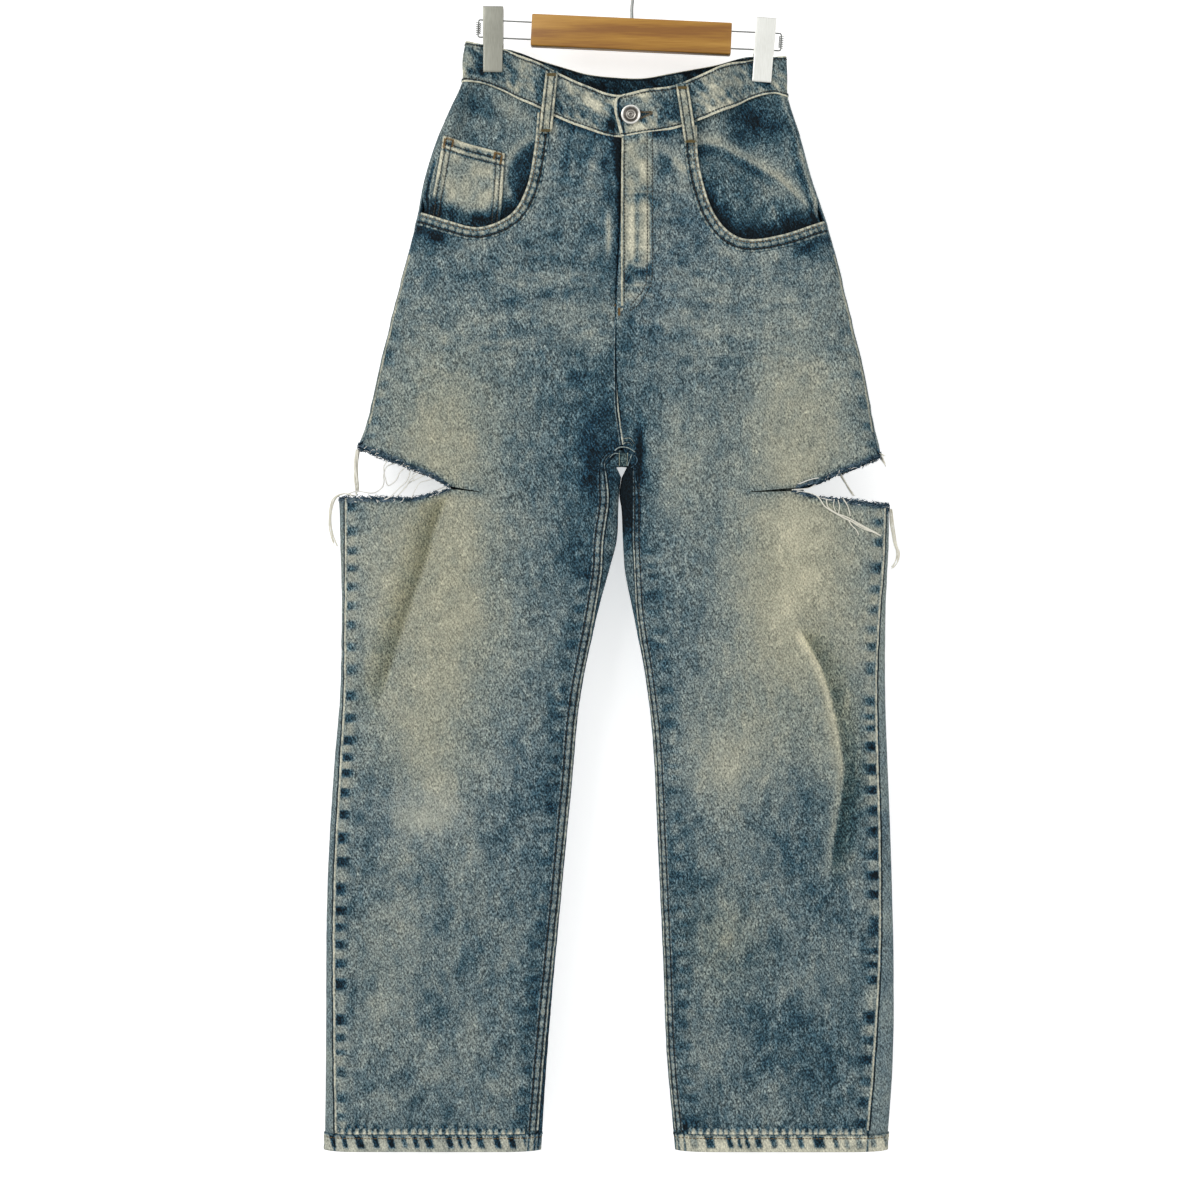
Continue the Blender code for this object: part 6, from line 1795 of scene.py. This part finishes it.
# The yarns in the right rip, as (x, z) places, and their radius.
RIGHT_YARNS = (
    (((-267.4, -527.1), (-257.9, -524.4), (-243.2, -526.1), (-235, -521.6), (-232.3, -515.6),
      (-232.6, -508.8), (-229, -500.7), (-221.4, -498)), 0.62),
    (((-229, -496.3), (-232.3, -502), (-230.9, -512.8), (-228.2, -518.9), (-221.4, -514.2),
      (-217.4, -506.7), (-212.7, -502.8)), 0.6),
    (((-207.3, -505), (-210.6, -514.2), (-217.4, -520.9), (-225.5, -529.1), (-233.6, -533.1)), 0.6),
    (((-199.8, -507), (-208, -514.2), (-212, -521), (-221.4, -530.4), (-225.5, -534.5)), 0.66),
    (((-193, -508.8), (-201.2, -512.8), (-209.3, -516.9), (-216, -524.9), (-223.4, -532.5)), 0.62),
    (((-187, -513), (-197.1, -515.6), (-201.2, -519.6), (-205.2, -527.7), (-206, -531)), 0.5),
    (((-171.5, -518.2), (-180.9, -522.3), (-189, -526.3)), 0.5),
    (((-172.5, -520.2), (-179, -524), (-184, -527.5)), 0.42),
    (((-203, -506), (-206, -510), (-203.5, -515)), 0.4),
)
LEFT_YARNS = (
    (((155.8, -518.9), (169.5, -513.5), (181.5, -510.8), (190.9, -506.2)), 0.5),
    (((152.6, -523), (168.1, -521.6), (176.2, -516.8), (180.2, -511.5)), 0.6),
    (((153.2, -523.6), (168.1, -525.6), (177.6, -529.7), (188.4, -532.5), (200.5, -531.7),
      (218.1, -533.1)), 0.62),
    (((200.5, -532), (205, -538), (207.6, -547)), 0.5),
)
# The yarns that lie over the front below it, parting and meeting again.
FRONT_LEFT_YARNS = (
    (((176, -529), (179, -532), (183.4, -538.5), (190.2, -543.2), (197.1, -547), (206.2, -551.5),
      (215.4, -556), (224.6, -560.7), (236, -566)), 0.66),
    (((185, -532.5), (186.8, -539.6), (194.8, -545.2), (204, -548.6), (213, -553.4), (222.3, -558.5),
      (233, -564)), 0.6),
    (((194, -544.6), (201, -549.6), (208, -552.6), (216, -557.8), (223.4, -561.2),
      (230.3, -563.2)), 0.5),
    (((205.5, -550.6), (208.5, -556), (213.1, -560.6), (215.6, -565.3)), 0.5),
    (((192.5, -532), (191.8, -538), (193.6, -543.4)), 0.42),
    (((196, -532.5), (197.4, -539), (196.4, -545.5)), 0.42),
    (((200.5, -531), (205, -538), (207.6, -547.5)), 0.46),
)


def loose(side, route, wobble, seed, out=0.6):
    """A yarn's places over the cloth, a little in and out of it."""
    run = curve_through(route, 6)
    x, z = run[:, 0], run[:, 1]
    points = lay(side, x, z, out + 0 * x)
    rng = np.random.default_rng(seed)
    sway = np.interp(np.linspace(0, 1, len(run)), np.linspace(0, 1, 6), rng.uniform(-1, 1, 6))
    points[:, 1] += wobble * sway
    return points


def bundle(points, strands, spread, radius, seed):
    """Several strands that run together, loosely twisted."""
    run = curve_through(points, 6)
    rng = np.random.default_rng(seed)
    made = []
    for strand in range(strands):
        turn = 2 * pi * strand / strands + np.linspace(0, rng.uniform(3, 6), len(run))
        reach = spread * rng.uniform(0.6, 1.2)
        end = int(len(run) * rng.uniform(0.75, 1.0))
        drift = np.stack((reach * np.cos(turn), reach * np.sin(turn), 0 * turn), axis=1)
        made.append(((run + drift)[:max(end, 3)], radius))
    return made


def fray(side, behind, seed):
    """A fuzzy roll of short broken yarns along both edges of a rip, navy with some pale ones."""
    rng = np.random.default_rng(seed)
    edge = np.array(RIPS[side], float)
    runs = {"navy": [], "slate": [], "pale": []}
    end = np.array(((cloth_place(side, 1.0, edge[-1, 1])[0], edge[-1, 1]),))
    for part, down in ((edge[1:6], -1), (np.concatenate((edge[8:-1], end)), 1)):
        run, heading = even_run(part, 0.36)
        reach = (-2.0, 6.0) if down == -1 else (-1.5, 5.0)
        for (x, z), (hx, hz) in zip(run, heading):
            long = rng.uniform(2.5, 6.0)
            lean = rng.normal(0, 0.55) + (0.35 if rng.random() < 0.5 else 0)
            dx, dz = hx * cos(lean) - hz * sin(lean), hx * sin(lean) + hz * cos(lean)
            inwards = rng.uniform(*reach) * ease(abs(x) / 200 - 0.5)
            middle_x, middle_z = x, z - down * inwards
            bend = rng.uniform(-1.2, 1.2) * np.array((0, 1, 0))
            at = long * np.array((-0.5, 0, 0.5))
            xs, zs = middle_x + dx * at - dz * bend, middle_z + dz * at + dx * bend
            points = lay(side, xs, zs, rng.uniform(0.3, 1.7) + 0 * xs, behind)
            chance = rng.random()
            navy_share = 0.62 if inwards < 1.8 else 0.35
            kind = "navy" if chance < navy_share else "slate" if chance < 0.95 else "pale"
            runs[kind].append((points, rng.uniform(0.22, 0.4)))
    word = "back" if behind else "front"
    return [tubes(f"fray_{kind}_{side}_{word}", runs[kind], yarn, sides=0)
            for kind, yarn, slot in (("navy", NAVY_YARN, "washed_denim"),
                                     ("slate", SLATE_YARN, "washed_denim"),
                                     ("pale", WHITE_YARN, "cotton_yarn"))]


FRAY = {(side, behind): fray(side, behind, 101 + 2 * behind + (side == LEFT))
        for side in (RIGHT, LEFT) for behind in (False, True)}


def single_yarns(name, side, routes, wobble, seed, material, node, out=0.6):
    """Yarns that hang in a rip or lie over the cloth."""
    runs = [(loose(side, route, wobble, seed + i, out), radius)
            for i, (route, radius) in enumerate(routes)]
    return tubes(name, runs, material, [node])


def bundles(name, node, *parts):
    """Bundles of cream strands that come out of a side seam, each from its route and numbers."""
    return tubes(name, [run for part in parts for run in bundle(*part)], CREAM_YARN, [node])


YARNS = {
    RIGHT: [
        single_yarns("yarns_right_rip", RIGHT, RIGHT_YARNS, 2.5, 110, WHITE_YARN, "yarn_fringe_right"),
        bundles("yarns_side_right", "yarn_bundle_side_right", (
            ((-258.4, 0, -484.0), (-260.4, 0.5, -499), (-260.2, 0, -512), (-258.9, -1, -529)),
            9, 1.5, 0.75, 131)),
        bundles("yarns_loop_right", "yarn_loop_right", (
            ((-261, -12, -528.6), (-271, -10, -526.4), (-280, -8, -531), (-284, -7, -543),
             (-284.6, -6, -556), (-281.5, -6, -569), (-277.8, -6, -577)), 5, 1.2, 0.5, 132))],
    LEFT: [
        single_yarns("yarns_left_rip", LEFT, LEFT_YARNS, 1.5, 120, WHITE_YARN, "yarn_strand_left"),
        single_yarns("yarns_front_left", LEFT, FRONT_LEFT_YARNS, 0.5, 130, CREAM_YARN,
                     "yarn_bundle_front_left", 1.9),
        bundles("yarns_side_left", "yarn_bundle_side_left", (
            ((247.6, -1, -540.5), (248.6, -2, -556), (251.5, -3, -574), (254, -3.5, -583),
             (252, -3.5, -592), (247.8, -3, -598)), 6, 1.5, 0.5, 135)),
        bundles(
            "yarns_wisp_left", "yarn_wisp_left",
            (((231, -3, -487), (237.5, -2, -490.2), (240.5, -3.5, -496), (243.5, -4.5, -502)),
             5, 1.2, 0.5, 136),
            (((230.5, -3, -486.5), (236, -3.5, -487.5), (241, -4, -490), (244.5, -4, -493.5)),
             2, 0.8, 0.4, 139),
            (((230, -3, -487.5), (231.5, -3.5, -492), (231, -4, -498)), 2, 0.8, 0.4, 140),
            (((199.2, 2, -506), (206.5, 1, -518.5), (214.5, 0, -531.5)), 4, 0.7, 0.5, 138))],
}


# ---------------------------------------------------------------- the hanger
# A bar of laminated bamboo with a bent steel wire hook. Two runs of thin wire come out of each end
# and carry a pressed steel clip with a small coil spring. The clips grip the waistband.
CLIP_TILT = {RIGHT: 0.3, LEFT: 4.4}
CLIP_TOP = {RIGHT: -64.5, LEFT: -75.0}
CLIP_BOTTOM = {RIGHT: -126.5, LEFT: -136.0}
CLIP_WIDE = 19.5
CLIP_PLATE = 1.1
BAR_MIDDLE = Vector((1.2, 0, -90.4))
BAR_TILT = Matrix.Rotation(radians(2.6), 3, 'Y')


def on_bar(x, y, z):
    return BAR_TILT @ Vector((x, y, z)) + BAR_MIDDLE


def bamboo():
    """Varnished bamboo: long straight strips of slightly different brown, with fine fibre lines."""
    material, tree, shader = new_material("varnished_bamboo", 0.38)
    place = add_node(tree, "TexCoord").outputs["Object"]
    along = add_node(tree, "Mapping", {"Vector": place, "Scale": (0.06, 1.0, 1.0)}).outputs[0]
    fibre = add_node(tree, "TexNoise", {"Vector": along, "Scale": 700.0, "Detail": 4.0})
    strip = add_node(tree, "TexNoise", {"Vector": along, "Scale": 110.0, "Detail": 1.0})
    both = reckon(tree, 'MULTIPLY_ADD', fibre.outputs["Fac"], 0.5, strip.outputs["Fac"])
    tone = add_node(tree, "ValToRGB", {"Fac": both}, stops=(
        (0.5, "#8a5a1e"), (0.75, "#a67629"), (1.0, "#bb8c3c")))
    tree.links.new(tone.outputs[0], shader.inputs["Base Color"])
    return material


def hanger():
    shape = soft_box((0.190, 0.012, 0.0303), 0.0014, 3)
    bmesh.ops.rotate(shape, cent=(0, 0, 0), matrix=BAR_TILT, verts=shape.verts)
    bmesh.ops.translate(shape, vec=BAR_MIDDLE * MM, verts=shape.verts)
    settle(made_piece("bamboo_bar", mesh_of("bamboo_bar", shape), bamboo()), ["hanger_bar"])

    foot = on_bar(0, 0, 15.15 + 0.4)
    route = [(foot.x, 0, foot.z), (foot.x, 0, foot.z + 12), (foot.x + 3, 0, -46.6)]
    for angle in range(-50, 206, 16):
        route.append((20.1 * cos(radians(angle)), 0, 20.1 * sin(radians(angle)) - 18.5))
    tubes("wire_hook", [(curve_through(route, 6), 1.6)], NICKEL, ["hanger_hook"], sides=3)
    for side in (RIGHT, LEFT):
        way = -INWARDS[side]
        start, reach = 95.3, 95 + (50.5 if side == RIGHT else 47.5)
        route = [(start, 8.0), (reach - 1.6, 8.0), (reach - 0.5, 7.5), (reach, 6.4), (reach, -6.8),
                 (reach - 0.5, -7.9), (reach - 1.6, -8.4), (start, -8.4)]
        tubes(f"wires_{side}", [([on_bar(way * x, 0, z) for x, z in route], 0.75)], NICKEL,
              [f"hanger_wire_{side}"], sides=2)
        # six turns in steps of 30 degrees
        spring = [on_bar(way * (reach + 2.2 * cos(step * pi / 6)), 2.2 * sin(step * pi / 6),
                         -5.8 + 11.2 * step / 72) for step in range(73)]
        tubes(f"spring_{side}", [(spring, 0.4)], NICKEL, [f"clip_spring_{side}"])


def clip_steel(name, code, low):
    """Pressed steel with a brushed face, between two given colours."""
    material, tree, shader = new_material(name, 0.34, 0.55)
    place = add_node(tree, "TexCoord").outputs["Object"]
    across = add_node(tree, "Mapping", {"Vector": place, "Scale": (1.0, 1.0, 0.08)}).outputs[0]
    brush = add_node(tree, "TexNoise", {"Vector": across, "Scale": 1500.0, "Detail": 3.0})
    tone = add_node(tree, "Mix", {0: brush.outputs["Fac"], 6: linear(low), 7: linear(code)},
                    data_type='RGBA')
    tree.links.new(tone.outputs[2], shader.inputs["Base Color"])
    return material


def clip(side, material):
    """Two bent plates. The front one has side walls above the jaws, which the wires run through."""
    middle = Vector((CLIP_ACROSS[side], 0.3, (CLIP_TOP[side] + CLIP_BOTTOM[side]) / 2))
    length = CLIP_TOP[side] - CLIP_BOTTOM[side]
    tilt = np.array(Matrix.Rotation(radians(CLIP_TILT[side]), 3, 'Y'))
    jaw = 2.3 + 1.2 + 0.3 + 0.6 + 0.75
    half = CLIP_WIDE / 2 - 0.6

    def splay(v):
        return jaw + (7.0 - jaw) * ease((v - 0.32) / 0.5)

    u, v = share_grid(33, 40)
    corner = 4 * (u - 0.5)
    across = half * np.clip(corner, -1, 1)
    # the front face bows a little, its corners are rounded, and the side walls reach back
    wall = np.clip((np.abs(corner) - 1) / 1.0, 0, 1) * (2 * splay(v) - 1.8)
    wall *= ease((v - 0.42) / 0.08)
    y = wall - splay(v) - 0.35 * (1 - np.clip(np.abs(corner), 0, 1) ** 2)
    made = []
    for word, x, y in (("front", across, y), ("back", (u - 0.5) * CLIP_WIDE, splay(v))):
        name = f"clip_{word}_plate_{side}"
        points = np.stack((x, y, (v - 0.5) * length), axis=-1) @ tilt.T + np.array(middle)
        plate = made_piece(name, grid_mesh(name, points), material, CLIP_PLATE)
        made.append(settle(plate, [f"clip_{word}_{side}"]))
    return made


hanger()
# The wearer's left clip takes a near-white copy of the steel: a painted glare of the light on it.
CLIPS = (clip(RIGHT, clip_steel("brushed_clip_steel", "#a9a99d", "#85857a"))
         + clip(LEFT, clip_steel("bright_clip_steel", "#f4f5f0", "#dcdcd4")))
